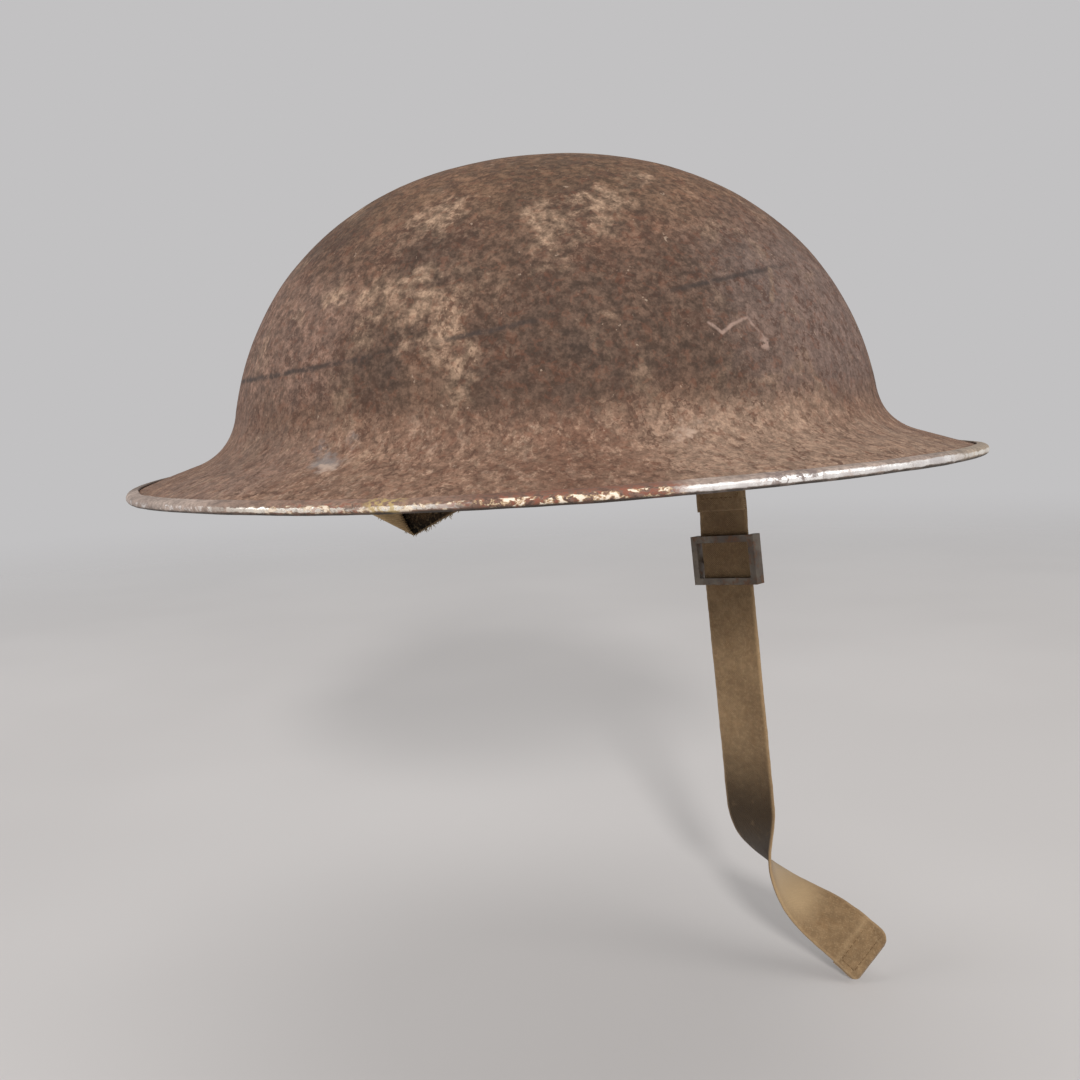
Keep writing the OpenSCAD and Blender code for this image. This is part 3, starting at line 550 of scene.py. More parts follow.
# Shell and rim, from the same formulas and sizes (mm) as the part's source
DOME_L, DOME_W, DOME_H = 238.0, 221.0, 108.0
PLAN_P, RISE_P, BASE = 2.27, 2.07, 2.0
CORNER_Z, CORNER_LEN = 11.0, 13.5
CURVE_TOP = CORNER_Z + CORNER_LEN
RIM_L, RIM_W, DROOP, REAR_DROOP, BACK = 310.0, 288.0, 4.2, 1.6, 3.0
SHELL_T, BAND_T, BAND_GAP, BAND_W, FOLD_ROOM = 1.0, 0.7, 0.1, 4.5, 0.35
NOSE_R = SHELL_T / 2 + BAND_GAP + FOLD_ROOM + BAND_T
FLANGE = BAND_W - NOSE_R
SCREW_HOLE_R = 3.2
LUG_RIVET = (22.0, 103.9, 30.0)
SHELL_TURNS, RIM_TURNS = 288, 540
# Half of the butted seam at the back of the band, in radians
SEAM = 0.27 / 155


def oval_r(th, length, width):
    return 1 / sqrt((2 * cos(th) / length) ** 2 + (2 * sin(th) / width) ** 2)


def wall_r(th, z):
    return oval_r(th, DOME_L, DOME_W) * (1 - ((z - BASE) / (DOME_H - BASE)) ** RISE_P) ** (1 / PLAN_P)


def dome_z(r, full):
    return BASE + (DOME_H - BASE) * (1 - (r / full) ** PLAN_P) ** (1 / RISE_P)


def brim_line(th):
    """The end of the brim's line, and the unit direction from there to the corner."""
    er, ez = oval_r(th, RIM_L, RIM_W) - NOSE_R, NOSE_R - DROOP * sin(th) ** 2
    if cos(th) < 0:
        ez -= REAR_DROOP * (sin(2 * th) ** 2 + cos(th) ** 2)
    dr, dz = wall_r(th, CORNER_Z) - er, CORNER_Z - ez - SHELL_T / 2
    n = hypot(dr, dz)
    return (er, ez), (dr / n, dz / n)


def outer_line(th, dome=46, corner=14, brim=14):
    """The shell's outer line from crown to edge, and the radii of the brim's start and edge."""
    full = oval_r(th, DOME_L, DOME_W)
    a0 = asin((SCREW_HOLE_R / full) ** (PLAN_P / 2))
    a1 = acos(((CURVE_TOP - BASE) / (DOME_H - BASE)) ** (RISE_P / 2))
    (er, ez), (ur, uz) = brim_line(th)
    line = []
    for a in steps(a0, a1, dome):
        r = full * sin(a) ** (2 / PLAN_P)
        line.append((r, dome_z(r, full)))
    p0, p1 = (wall_r(th, CURVE_TOP), CURVE_TOP), (wall_r(th, CORNER_Z), CORNER_Z)
    p2 = (p1[0] - ur * CORNER_LEN, p1[1] - uz * CORNER_LEN)
    for k in steps(0, 1, corner)[1:]:
        line.append([(1 - k) ** 2 * p0[c] + 2 * k * (1 - k) * p1[c] + k * k * p2[c] for c in (0, 1)])
    for k in steps(0, 1, brim)[1:]:
        line.append((lerp(p2[0], er, k), lerp(p2[1], ez + SHELL_T / 2, k)))
    return line, p2[0], er


def in_space(th, r, z, r2, er):
    """A point of the section at a heading; the brim's centre shifts back towards its edge."""
    return (r * cos(th) - BACK * clamp((r - r2) / (er - r2)), r * sin(th), z)


def build_shell():
    """The pressed sheet, a little uneven, and swollen where the lug rivets hold it."""
    rows = []
    for th in angles(SHELL_TURNS):
        line, r2, er = outer_line(th)
        outer, inner = [], []
        for r, z, nr, nz in normals(line):
            p = in_space(th, r, z, r2, er)
            fade = ease((er - r) / 16) * ease((r - 9) / 12)
            swell = 0.0
            for side in (1, -1):
                far = (Vector(p) - Vector((LUG_RIVET[0], side * LUG_RIVET[1], LUG_RIVET[2]))).length
                fade *= ease((far - 7) / 8)
                swell += 0.78 * (1 - ease((far - 4.1) / 12))
            uneven = 0.3 * wobble(p, 42, 3.1) + 0.16 * wobble(p, 17, 7.7) + 0.05 * wobble(p, 6, 1.3)
            lift = swell + fade * uneven
            outer.append(in_space(th, r + nr * lift, z + nz * lift, r2, er))
            inner.append(in_space(th, r + nr * (lift - SHELL_T), z + nz * (lift - SHELL_T), r2, er))
        # from the inner crown out to the edge and back over the outer face
        rows.append(inner + outer[::-1])
    mesh = lattice(rows, closed=True)
    count = len(rows[0])
    make_piece("steel_shell", mesh, [shell_mat, inner_steel()], ("shell",),
               second=[int(i % count < count // 2) for i in range(len(mesh[1]))])


def channel_profile():
    """Points of the fold's section: inwards, upwards, angle round the nose, and 1 on the outer face."""
    low_in = SHELL_T / 2 + BAND_GAP
    low_out, ins = low_in + BAND_T, NOSE_R - BAND_T

    def leg(shares, face, a, b, outside):
        return [(FLANGE * k, face * lerp(a, b, ease(k)), 90 * face, outside) for k in shares]

    pts = [(FLANGE, low_out - 0.25, 90, 1)]
    pts += leg([0.95] + steps(0, 1, 8)[7:0:-1], 1, NOSE_R, low_out, 1)
    pts += [(-NOSE_R * cos(radians(a)), NOSE_R * sin(radians(a)), a, 1) for a in range(90, -91, -10)]
    pts += leg(steps(0, 1, 6)[1:], -1, NOSE_R, low_out, 1)
    pts += leg((1, 0.5), -1, ins, low_in, 0)
    pts += [(-ins * cos(radians(a)), ins * sin(radians(a)), -90, 0) for a in range(-90, 91, 45)]
    return pts + leg((0.5, 1), 1, ins, low_in, 0)


def build_rim():
    profile = channel_profile()
    rows = []
    for th in steps(pi + SEAM, pi + TURN - SEAM, RIM_TURNS):
        (er, ez), (ur, uz) = brim_line(th)
        r2 = outer_line(th, 1, 1, 1)[1]
        row = []
        for a, b, angle, outside in profile:
            base = around(er, th, a * 10 + b)
            if outside:
                swell = 0.1 * wobble(base, 21, 2.2) + 0.06 * wobble(base, 7, 5.5)
                k = 1 + (swell + 0.03 * wobble(base, 2.2, 9.1)) / NOSE_R
                b *= k
                a = a * k if a < 0 else a + 0.45 * wobble(base, 15, 4.4) * clamp(a / FLANGE) ** 2
            row.append(in_space(th, er + ur * a + uz * b, ez + uz * a - ur * b, r2, er))
        rows.append(row)
    # marks for the material: the nose, its underside, which gets painted shade, and the flange's upper lip,
    # which gets a painted dark line of shade against the shell
    nose, under, painted_gap_shade = [], [], []
    for a, b, angle, outside in profile * len(rows):
        nose.append(clamp(1 - abs(angle - 20) / 64) if a <= 0.01 and outside else 0.0)
        under.append(ease((-2 - angle) / 22) if a <= 0.01 or b < 0 else 0.0)
        painted_gap_shade.append(1.0 if a > FLANGE - 0.1 and b > 0 else 0.0)
    attrs = {"nose": nose, "under": under, "painted_gap_shade": painted_gap_shade}
    make_piece("edge_channel", lattice(rows), [rim_mat], ("rim_band",), attrs=attrs)


# Webbing
LUG_TURN = radians(10.2038)
SIDE = Vector((cos(LUG_TURN), -sin(LUG_TURN), 0))
OUTD = Vector((sin(LUG_TURN), cos(LUG_TURN), 0))
UPD = Vector((0, 0, 1))
BAR = Vector((21.7385, 103.934, 6.8577))
LEAN = radians(4.9)
HANG = SIDE * sin(LEAN) - UPD * cos(LEAN)
ACROSS = SIDE * cos(LEAN) + UPD * sin(LEAN)
SEWN, HANG_LEN, WEB_W, WEB_T = 35.0, 173.0, 25.0, 1.6
LEAN_FROM = SEWN - 12
HANG_START = BAR - UPD * LEAN_FROM
HANG_END = HANG_START + HANG * (HANG_LEN - LEAN_FROM)
TAIL = [((3, -1, -9.5), (0.88, -0.46, 0)), ((7.5, -1.5, -18.5), (0.6, -0.8, 0.05)),
        ((14.5, -2, -27.5), (0.24, -0.97, 0)), ((25, -1, -37.5), (-0.15, -0.94, -0.3)),
        ((38.5, 1.5, -46.5), (-0.46, -0.73, -0.5)), ((52, 5, -58.5), (-0.48, -0.63, -0.61))]
# Half width and thickness of the dressed webbing, and half the distance of two sewn layers' middles
HALF_WEB, DRESSED_T, LAYER = 12.45, 1.5, 0.82
# Radius of its middle round the bar, and how far below the bar its layers lie together
LOOP_R, LOOP_LEG = 2.11, 8
HEM, HEM_LAYER = 12.0, 0.8
# Below this length along the strap the buckle never comes
FREE = 205.0


def smooth_at(points, s):
    """A smooth curve through points, at a place counted in points."""
    n = len(points)
    i = min(int(s), n - 2)
    k = s - i
    a, b = points[max(0, i - 1)], points[i]
    c, d = points[i + 1], points[min(n - 1, i + 2)]
    square, cube = 2 * a - 5 * b + 4 * c - d, 3 * b - 3 * c + d - a
    return 0.5 * (2 * b + (c - a) * k + square * k * k + cube * k ** 3)


def places(origin, side, out):
    """A function for points at distances across, outwards and upwards from an origin."""
    return lambda x, y, z: origin + side * x + out * y + UPD * z


def loop_points(at, side):
    """The webbing from its inner layer round the bar to its outer layer, as (place, width direction)."""
    legs = steps(0, 1, 9)[1:-1]
    pts = [at(0, lerp(-LAYER, -LOOP_R, ease(k)), lerp(-LOOP_LEG, 0, k)) for k in legs]
    pts += [at(0, LOOP_R * cos(a), LOOP_R * sin(a)) for a in steps(pi, 0, 12)]
    pts += [at(0, lerp(LOOP_R, LAYER, ease(k)), lerp(0, -LOOP_LEG, k)) for k in legs]
    return [(p, side) for p in pts]


def long_path():
    """Centre points and width directions along the long strap, folded end first."""
    at = places(BAR, SIDE, OUTD)
    pts = [(at(max(0.0, -z - LEAN_FROM) * tan(LEAN), -LAYER, z), SIDE) for z in steps(-SEWN, -LOOP_LEG, 27)]
    pts += loop_points(at, SIDE)
    pts += [(at(0, LAYER, z), SIDE) for z in steps(-LOOP_LEG, -LEAN_FROM, 21)]
    line = [(HANG_START.lerp(HANG_END, k), ACROSS) for k in steps(0, 1, 6)]
    line += [(HANG_END + Vector(p), Vector(w)) for p, w in TAIL]
    centres, widths = [p for p, w in line], [w for p, w in line]
    for s in steps(0, len(line) - 1, 230)[1:]:
        p = smooth_at(centres, s)
        out = LAYER * (1 - ease(((p - HANG_START).length - 12) / 10))
        pts.append((p + OUTD * out, smooth_at(widths, s)))
    return pts


def measured(pts):
    """A path of (place, width direction) with the length up to each point."""
    out, d = [], 0.0
    for i, (p, w) in enumerate(pts):
        d += (p - pts[max(0, i - 1)][0]).length
        out.append((p, w, d))
    return out


def resample(pts, step):
    """The same path with its points at even steps."""
    line = measured(pts)
    full = line[-1][2]
    n = max(2, round(full / step))
    out, j = [], 0
    for i in range(n + 1):
        d = full * i / n
        while j < len(line) - 2 and line[j + 1][2] < d:
            j += 1
        (p, w, d0), (q, v, d1) = line[j], line[j + 1]
        k = (d - d0) / max(1e-9, d1 - d0)
        out.append((p.lerp(q, k), w.lerp(v, k), d))
    return out


def frames(path):
    """Place, tangent, width, normal and length at each point of a path."""
    out = []
    for i, (p, w, d) in enumerate(path):
        t = (path[min(i + 1, len(path) - 1)][0] - path[max(i - 1, 0)][0]).normalized()
        a = (w - t * w.dot(t)).normalized()
        out.append((p, t, a, t.cross(a).normalized(), d))
    return out


def band_section(left, right, thick, cup=0.0, cols=22):
    """Points round the webbing's section as (across, normal), with rounded selvedges."""
    r = thick / 2
    xs, cups = steps(-left + r * 0.7, right - r * 0.7, cols), [cup * e * e for e in steps(-1, 1, cols)]
    flat = list(zip(xs, cups))
    top, low = [(x, r + c) for x, c in flat], [(x, -r + c) for x, c in flat]

    def selvedge(end, inwards, turn):
        return [(end + inwards * r * 0.15, turn * r * 0.6 + cup), (end, cup),
                (end + inwards * r * 0.15, -turn * r * 0.6 + cup)]

    return top + selvedge(right, -1, 1) + low[::-1] + selvedge(-left, 1, -1)


# The section whose places serve as UVs and marks
SECTION = band_section(WEB_W / 2, WEB_W / 2, WEB_T)


def loft_band(fr, widths, seed, wave, cups=None):
    """The webbing along its frames, rippled by wave and frayed at its edges."""
    rows = []
    for i, (p, t, a, n, d) in enumerate(fr):
        left, right = widths[i]
        row = []
        for x, y in band_section(left, right, DRESSED_T, cups[i] if cups else 0.0):
            q = p + a * x + n * y
            ripple = wave(d) * (wobble(q, 30, seed) + 0.4 * wobble(q, 5, seed + 3))
            fray = 0.18 * wobble((d, 0, x * 0.01), 3.1, seed + 8) if abs(x) > min(left, right) - 1.2 else 0.0
            row.append(tuple(q + n * ripple + a * (fray * (1 if x > 0 else -1))))
        rows.append(row)
    lengths = [f[4] for f in fr]
    return lattice(rows, us=[x for x, y in SECTION] + [SECTION[0][0]], vs=lengths + [lengths[-1] + 1])


def relaxed(path):
    """The path with its twisted part smoothed."""
    for _ in range(40):
        path = [path[0]] + [(a[0].lerp((b[0] + c[0]) / 2, 0.5), a[1].lerp((b[1] + c[1]) / 2, 0.5), a[2])
                            if a[0].z < -120 and c[2] > 90 else a
                            for a, b, c in zip(path[1:-1], path, path[2:])] + [path[-1]]
    return path


def corner_cut(r, s):
    """How much a corner of radius r takes off the edge at a distance s from the end."""
    return r - sqrt(max(0.0, r * r - (r - s) ** 2)) if s < r else 0.0


def build_long_strap():
    fr = frames(relaxed(resample(long_path(), 1.25)))
    total = fr[-1][4]
    # the hem: the band bends to one side of the middle, then turns round and comes back on the other
    main = [(p - n * (HEM_LAYER * ease((d - (total - HEM - 7)) / 6)), a) for p, t, a, n, d in fr]
    end_p, end_t, a, n, _ = fr[-1]
    for i in range(1, 8):
        g = pi * i / 8
        main.append((end_p + end_t * (HEM_LAYER * sin(g)) - n * (HEM_LAYER * cos(g)), a))
    main += [(p + n * HEM_LAYER, a) for p, t, a, n, d in fr[::-1] if d >= total - HEM]
    fr = frames(resample(main, 0.9))
    full = fr[-1][4]
    fold_at = full - HEM - 1.25
    widths, cups = [], []
    for p, t, a, n, d in fr:
        left = right = HALF_WEB
        if abs(d - fold_at) < 12:
            s = max(0.0, (end_p - p).dot(end_t) + HEM_LAYER)
            left -= corner_cut(4.6, s)
            right -= corner_cut(2.0, s)
        if d > fold_at + 1.4:
            left -= 0.5
            right += 0.25
        widths.append((left, right))
        cups.append(0.5 * ease((d - FREE) / 20) * ease((fold_at - 25 - d) / 20))
    mesh = loft_band(fr, widths, 2.7, lambda d: 0.05 + 0.2 * ease((d - FREE) / 20), cups)
    # marks for the material: the inner face, and the start of the hem, which gets a painted highlight
    attrs = {"inner": [1.0 if y > 0.1 else 0.0 for _ in fr for x, y in SECTION],
             "hem": [ease(1 - abs(f[4] - (fold_at - HEM)) / 1.8) for f in fr for _ in SECTION]}
    ob = make_piece("chin_webbing", mesh, [strap_mat], ("long_strap",), "long_strap", attrs)
    return fr, fold_at


def thread_run(runs, r, sides=6):
    """Short thread lengths: each run is a list of centre points; returned as one mesh."""
    mesh = [], [], []
    for pts in runs:
        rows = []
        for i, p in enumerate(pts):
            t = (pts[min(i + 1, len(pts) - 1)] - pts[max(i - 1, 0)]).normalized()
            u = t.orthogonal().normalized()
            v = t.cross(u)
            rr = r * (0.55 if i in (0, len(pts) - 1) else 1.0)
            rows.append([tuple(p + u * (rr * cos(g)) + v * (rr * sin(g))) for g in angles(sides)])
        join(mesh, lattice(rows))
    return mesh


def stitch_line(a, b, n, pitch=2.6, rise=0.04):
    """Stitches from a to b, standing a little out of the cloth along n."""
    count = max(1, round((b - a).length / pitch))
    return [[a.lerp(b, lerp(i + 0.12, i + 0.88, k) / count) + n * (rise * (1 if 0 < k < 1 else -0.35))
             for k in (0, 0.3, 0.7, 1)] for i in range(count)]


def build_stitches(fr, fold_at):
    """Box stitches at the sewn end below the bar and on the hem."""
    runs = []

    def box(d0, d1, x, side, lift, pairs):
        corners = []
        for d, across in ((d0, -x), (d0, x), (d1, x), (d1, -x)):
            p, t, a, n, _ = min(fr, key=lambda f: abs(f[4] - d))
            corners.append(p + a * across + n * (side * lift))
        for u, v in pairs:
            runs.extend(stitch_line(corners[u], corners[v], n * side))

    outline = [(0, 1), (1, 2), (2, 3), (3, 0)]
    crossed = outline + [(0, 2), (1, 3)]
    bar_d = SEWN + 0.1 + pi * LOOP_R / 2
    box(bar_d + 12, bar_d + 33, 10, 1, 2.28, crossed)
    box(bar_d + 12, bar_d + 33, 10, -1, 0.7, crossed)
    box(fold_at - 10.3, fold_at - 2.6, 9.5, 1, 2.24, outline)
    box(fold_at - 10.3, fold_at - 2.6, 9.5, -1, 0.72, outline)
    make_piece("strap_stitches", thread_run(runs, 0.21), [dull_thread], body="long_strap")


def build_torn_strap():
    bar, side, out = (Vector((v.x, -v.y, v.z)) for v in (BAR, SIDE, OUTD))
    at = places(bar, side, out)

    def edges(z):
        """How far the torn inner layer reaches to the left and right at a height."""
        left, right = lerp(HALF_WEB, 15.5, ease((-z - 4) / 10.5)), lerp(HALF_WEB, 13.5, ease((-z - 4) / 9.0))
        if z <= -14.5:
            left = lerp(15.5, 2.4, (-z - 14.5) / 6.0)
        if z <= -13:
            right = lerp(13.5, -2.4, ((-z - 13) / 7.5) ** 0.9)
        return left, right

    down = steps(-20.3, -LOOP_LEG, 39)
    widths = [edges(z) for z in down + steps(-LOOP_LEG, 0, 9)[1:-1]]
    pts = [(at(0, -LAYER, z), side) for z in down] + loop_points(at, side)
    pts += [(at(0, LAYER, -LOOP_LEG - i), side) for i in (1, 2, 3)]
    fr = frames(measured(pts))
    widths += [(HALF_WEB, HALF_WEB)] * (len(fr) - len(widths))
    mesh = loft_band(fr, widths, 6.1, lambda d: 0.12)
    # the corner folded up over the outer face
    rear, tip = Vector((-15.5, 0, -14.5)), Vector((-2.4, 0, -20.5))
    back, near = Vector((-11, 0, -8.5)), Vector((-7, 0, -12))
    rows, cols = [], 12
    for s in steps(0, 1, 12):
        top, low = [], []
        for k in steps(0, 1, cols):
            q = rear.lerp(tip, k).lerp(back.lerp(near, k), s)
            lift = ease(s / 0.12) * (0.9 + 0.5 * sin(pi * min(1.0, s * 1.2)) + 0.12 * wobble(q, 3, 4.4))
            top.append(tuple(at(q.x, lift + 0.7, q.z)))
            low.append(tuple(at(q.x, lift - 0.7, q.z)))
        rows.append(top + low[::-1])
    base = len(mesh[0])
    across = [float(j) for j in range(cols + 1)]
    join(mesh, lattice(rows, us=across + across[::-1] + [0.0], vs=[float(i) for i in range(14)]))
    # the stub takes the near-black copy, painted shade, and the folded corner the pale copy, painted light
    ob = make_piece("torn_webbing", mesh, torn_mats, ("short_strap",), "short_strap",
                    second=[int(f[0] >= base) for f in mesh[1]])
    # loose threads along the torn edge
    runs = []
    for i in range(96):
        k = rnd.random()
        a = tip.lerp(Vector((13.5, 0, -13)), k) if i % 3 else tip.lerp(rear, k * 0.9)
        if i % 7 == 0:
            a = back.lerp(near, k)
        length = 0.4 + 0.9 * rnd.random() ** 2
        start = at(a.x, -0.8 + 0.9 * rnd.random() if i % 7 else 1.6, a.z + 0.3)
        way = (side * rnd.uniform(-0.7, 0.7) - UPD + out * rnd.uniform(-0.6, 0.6)).normalized()
        bend = (side * rnd.uniform(-1, 1) + out * rnd.uniform(-1, 1)) * 0.25 * length
        runs.append([start, start + way * length * 0.5 + bend * 0.3, start + way * length + bend])
    make_piece("torn_threads", thread_run(runs, 0.11, 4), [pale_thread], body="short_strap")


# Liner, soft pieces
END_TOP, END_ROOM, SIDE_TOP, SIDE_ROOM = 34.0, 10.5, 44.0, 18.0
HOOP_T, CLOTH_T, GAP = 1.6, 1.5, 0.1
HOOP_LOW, HOOP_TOP, BAND_TOP = 8.0, 46.0, 48.0
LINER_L = 2 * (wall_r(0, END_TOP) - SHELL_T - END_ROOM)
LINER_W = 2 * (wall_r(pi / 2, SIDE_TOP) - SHELL_T - SIDE_ROOM)
# The leaves' line from the band inwards and upwards, as shares of the liner's size and of their rise
LEAF_LINE = [(1, 0), (0.975, 0.28), (0.91, 0.56), (0.82, 0.8), (0.72, 1)]
LEAVES, LEAF_BASE, LEAF_RISE, LEAF_T = 8, HOOP_TOP + 2.1, 25.0, 1.2
LEAF_MIDS = [TURN * (i + 0.5) / LEAVES for i in range(LEAVES)]
LACE_R, LACE_Z = 1.0, LEAF_BASE + LEAF_RISE - LEAF_T / 2


def liner_point(th, inset, z, share=1.0, inwards=0.0):
    """A point on a share of the oval that lies inset from the hoop's outside, moved inwards."""
    return ((share * (LINER_L / 2 - inset) - inwards) * cos(th),
            (share * (LINER_W / 2 - inset) - inwards) * sin(th), z)


def build_sweatband():
    """Leathercloth down the inside of the hoop, round its lower edge and up its outside."""
    mid, out = HOOP_T + GAP + CLOTH_T / 2, -(GAP + CLOTH_T / 2)
    path = [(mid, z) for z in steps(BAND_TOP, HOOP_LOW, 16)]
    for a in steps(0, pi, 8)[1:-1]:
        path.append(((mid + out) / 2 + (mid - out) / 2 * cos(a), HOOP_LOW - 0.75 * sin(a)))
    path += [(out, z) for z in steps(HOOP_LOW, HOOP_LOW + 3.5, 3)]
    line, half, rows = normals(path), CLOTH_T / 2 - 0.05, []
    for th in angles(240):
        left, right = [], []
        for i, (a, z, na, nz) in enumerate(line):
            q = liner_point(th, a, z)
            inner = ease((BAND_TOP - z) / 4) * ease((z - HOOP_LOW) / 4) if i < 17 else 0.0
            swell = inner * (0.35 * wobble(q, 16, 2.0) + 0.16 * wobble((q[0], q[1], q[2] * 3), 5, 6.0))
            left.append(liner_point(th, a + na * half, z + nz * half))
            right.append(liner_point(th, a - na * half + swell, z - nz * half))
        rows.append(left + right[::-1])
    mesh = lattice(rows, closed=True)
    ob = make_piece("sweat_cloth", mesh, [leather], ("sweatband",))
    runs, count = [], 170
    for i in range(count):
        run = []
        for k, dip in ((0, -0.2), (0.3, 0.2), (0.7, 0.2), (1, -0.2)):
            th = TURN * lerp(i + 0.15, i + 0.85, k) / count
            run.append(Vector(liner_point(th, HOOP_T + GAP + CLOTH_T + dip, HOOP_LOW + 5)))
        runs.append(run)
    make_piece("band_stitches", thread_run(runs, 0.24), [cotton])


def leaf_point(th, k, drop):
    """A point at a heading and a place k along the leaves' line, dropped below their upper face."""
    i = min(int(k), 3)
    share, rise = (lerp(LEAF_LINE[i][c], LEAF_LINE[i + 1][c], k - i) for c in (0, 1))
    n = Vector((12, 4 + 10 * k)).normalized()
    return liner_point(th, HOOP_T + GAP, LEAF_BASE + rise * LEAF_RISE - drop * n.y * 0.6, share, drop * n.x)


def build_leaves():
    mesh = [], [], []
    for m, mid in enumerate(LEAF_MIDS):
        rows = []
        for k in steps(0, 4, 16):
            half = radians(19.5 - 0.6 * k * k)
            if k > 3.2:
                half *= sqrt(max(0.0, 1 - 0.55 * ((k - 3.2) / 0.8) ** 2))
            top, low = [], []
            for e in steps(-1, 1, 14):
                th = mid + half * e
                belly = 0.9 * (1 - e * e) * sin(pi * k / 4) * 0.6
                belly += 0.25 * wobble(leaf_point(th, k, 0.0), 7, m + 1.5) * min(1.0, k)
                top.append(leaf_point(th, k, 0.1 + belly))
                low.append(leaf_point(th, k, 1.15 + belly))
            rows.append(top + low[::-1])
        join(mesh, lattice(rows))
    ob = make_piece("lining_leaves", mesh, [leather], ("lining_tongues",))


def build_lace():
    """A two-ply cotton lace through the tips of the leaves."""
    inset, share = HOOP_T + GAP, LEAF_LINE[-1][0]
    off, rows = LEAF_T * 0.3 + LACE_R + 0.3, []
    for th in angles(720):
        row = []
        for g in angles(8):
            ply = 0.82 + 0.2 * abs(cos(g + 90 * th))
            inwards = off + 0.22 * cos(8 * th) - ply * cos(g)
            row.append(liner_point(th, inset, LACE_Z + ply * sin(g), share, inwards))
        rows.append(row)
    mesh = lattice(rows, closed=True)
    # small loops of the same lace that hold each leaf's tip
    for th in [mid + off for mid in LEAF_MIDS for off in (-0.17, 0.17)]:
        centre = Vector(liner_point(th, inset, LACE_Z + 0.2, share, 1.0))
        out = Vector(around(1, th, 0))
        along, rows = out.cross(UPD), []
        for g in angles(20):
            reach = out * (2.3 * cos(g)) + UPD * (1.7 * sin(g))
            u = reach.normalized()
            rows.append([centre + reach + u * (0.45 * cos(h)) + along * (0.45 * sin(h)) for h in angles(6)])
        join(mesh, lattice(rows, closed=True))
    make_piece("twisted_lace", mesh, [cotton], ("lining_lace",))


def build_pad():
    """The felt pad under the crown, swollen a little between the screw and its rim."""
    box_lo, box_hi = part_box("crown_pad")
    low, high = box_lo[2] / MM, box_hi[2] / MM
    rows = []
    for th in angles(96):
        row = []
        for k in steps(0, 1, 8):
            r = lerp(3.4, 31.0, k)
            z = low + 0.1 + 0.25 * wobble(around(r, th, low), 6, 3) * ease(k * 3) + (0.9 if k == 1 else 0.0)
            row.append((r, z))
        row += zip((31.9, 32.0, 31.6), steps(low + 1.6, dome_z(31.2, DOME_W / 2) - 2.4, 2))
        for r in steps(30.8, 8.4, 7):
            row.append((r, dome_z(r, DOME_W / 2) - SHELL_T - 0.4 + 0.08 * wobble(around(r, th, 9), 5, 1)))
        row += [(7.6, high - 0.15), (3.4, high - 0.2)]
        rows.append([around(r, th, z) for r, z in row])
    ob = make_piece("felt_pad", lattice(rows, closed=True), [felt()], ("crown_pad",))


# Build
build_shell()
build_rim()
build_stitches(*build_long_strap())
build_torn_strap()
build_sweatband()
build_leaves()
build_lace()
build_pad()

# CAD pieces that stay: material, bevel in mm, nodes
for mat, bevel, names in (
        (shell_mat, 0, "crown_screw left_lug_rivet right_lug_rivet"),
        (steel, 0, "crown_washer left_bail right_bail"),
        (steel, 0.2, "crown_plate left_lug right_lug"),
        (steel, 0.3, "crown_nut"),
        (steel, 0.15, "strap_rivets buffer_rivets"),
        (buckle_steel, 0.4, "slide_buckle"),
        (fibre_mat, 0.3, "liner_hoop"),
        (fibre_mat, 0.25, "fore_aft_strap cross_strap"),
        (rubber_mat, 0.6, "front_buffer rear_buffer left_buffer right_buffer")):
    for name in names.split():
        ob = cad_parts[name]
        ob.data.materials.clear()
        ob.data.materials.append(mat)
        if bevel:
            mod = ob.modifiers.new("edges", "BEVEL")
            mod.width = bevel * MM
            mod.segments = 2
            mod.limit_method = "ANGLE"
            mod.angle_limit = radians(40)

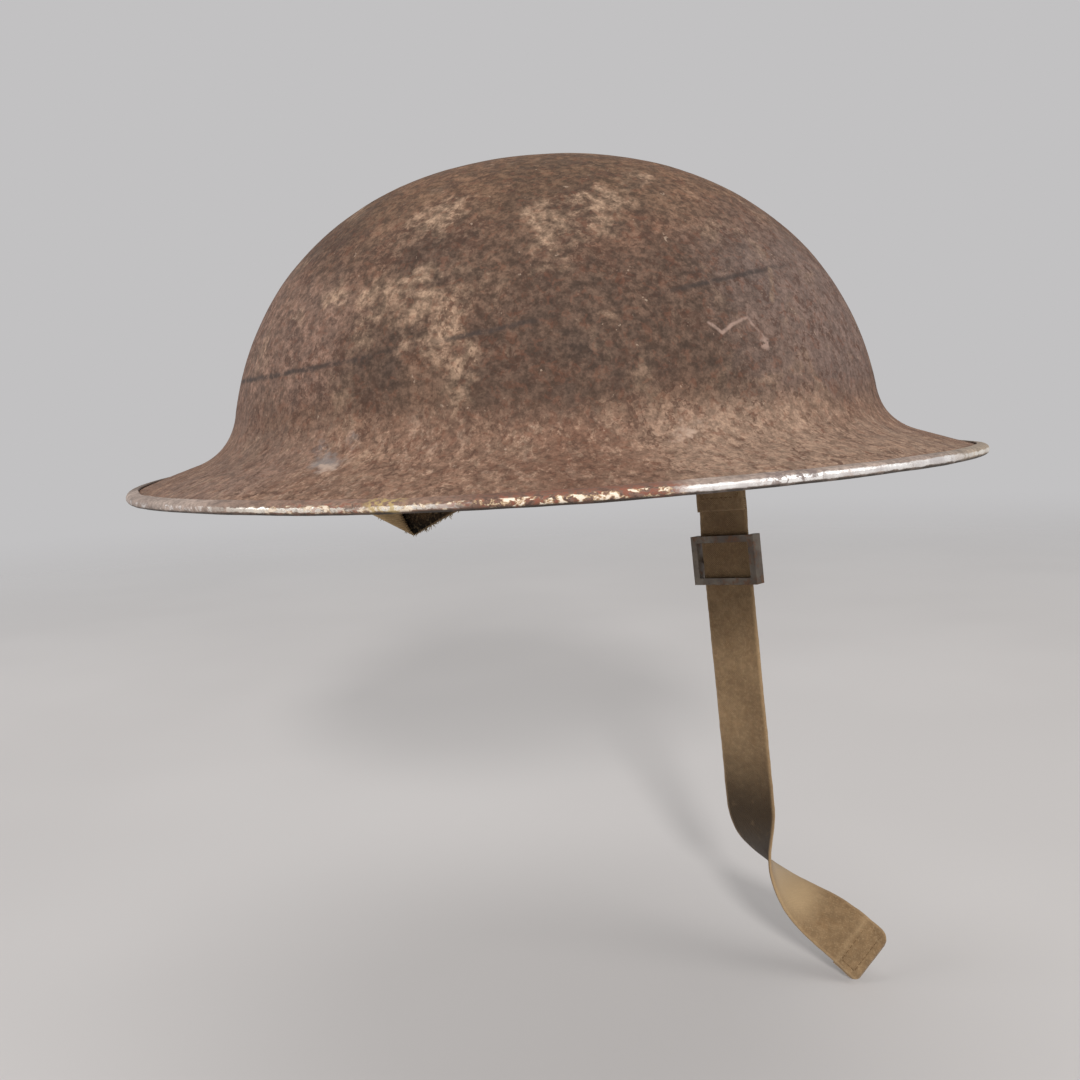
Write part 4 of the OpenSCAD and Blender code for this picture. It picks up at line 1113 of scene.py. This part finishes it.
# Floor: its far part fades into the background, and it isn't seen from below
FLOOR_Z, FLOOR_R = -0.2336, 3.2
floor_me = bpy.data.meshes.new("floor")
floor_me.from_pydata([around(FLOOR_R, a, FLOOR_Z) for a in angles(72)], [], [tuple(range(72))])
floor = add_object("floor", floor_me)
fm = Mat("floor", 0.9, 0.2)
fm.base(fm.noise(3, 2, 0.5), 0.3, 0.7, (203, 200, 200), (208, 205, 205))
fm.done()
away = fm.step(fm.vec("DISTANCE", fm.co, (0.0, 0.0, FLOOR_Z)), 0.5, 2.6)
hidden = fm.most(away, fm.put("NewGeometry").outputs["Backfacing"])
faded = fm.put("MixShader", {0: hidden, 1: fm.shader.outputs[0], 2: fm.put("BsdfTransparent").outputs[0]})
fm.mat.node_tree.links.new(faded.outputs[0], fm.out.inputs[0])
floor_me.materials.append(fm.mat)

# Background: one colour where it is seen, another that lights the scene
world = bpy.data.worlds.new("world")
scene.world = world
world.use_nodes = True
tree = world.node_tree
tree.nodes.clear()
rays = put(tree, "LightPath").outputs
seen = put(tree, "Math", {0: rays["Is Camera Ray"], 1: rays["Is Glossy Ray"]}, operation="MAXIMUM").outputs[0]
lit = put(tree, "Background", {0: (1.0, 0.985, 0.96, 1), 1: 0.4}).outputs[0]
backdrop = put(tree, "Background", {0: srgb(194, 193, 194), 1: 1.0}).outputs[0]
put(tree, "OutputWorld", {0: put(tree, "MixShader", {0: seen, 1: lit, 2: backdrop}).outputs[0]})

# Lights: place, height of their aim, size, power, colour
for name, place, aim_z, size, power, colour in (
        ("right", (2.9, 0.3, 1.5), 0.0, 2.0, 21.0, (1.0, 0.98, 0.94)),
        ("left", (-2.6, -1.8, 1.4), 0.0, 2.0, 30.0, (0.96, 0.98, 1.0)),
        ("top", (0.2, -0.2, 3.0), 0.0, 2.4, 20.0, (1.0, 0.99, 0.97)),
        ("front", (1.92, -2.47, 1.3), -0.1, 0.5, 72.0, (1.0, 0.98, 0.95))):
    light = bpy.data.lights.new(name, "AREA")
    light.shape = "DISK"
    light.size = size
    light.energy = power
    light.color = colour
    ob = add_object(name, light)
    ob.location = place
    ob.rotation_euler = (Vector((0, 0, aim_z)) - Vector(place)).to_track_quat("-Z", "Y").to_euler()
scene.view_settings.view_transform = "Standard"

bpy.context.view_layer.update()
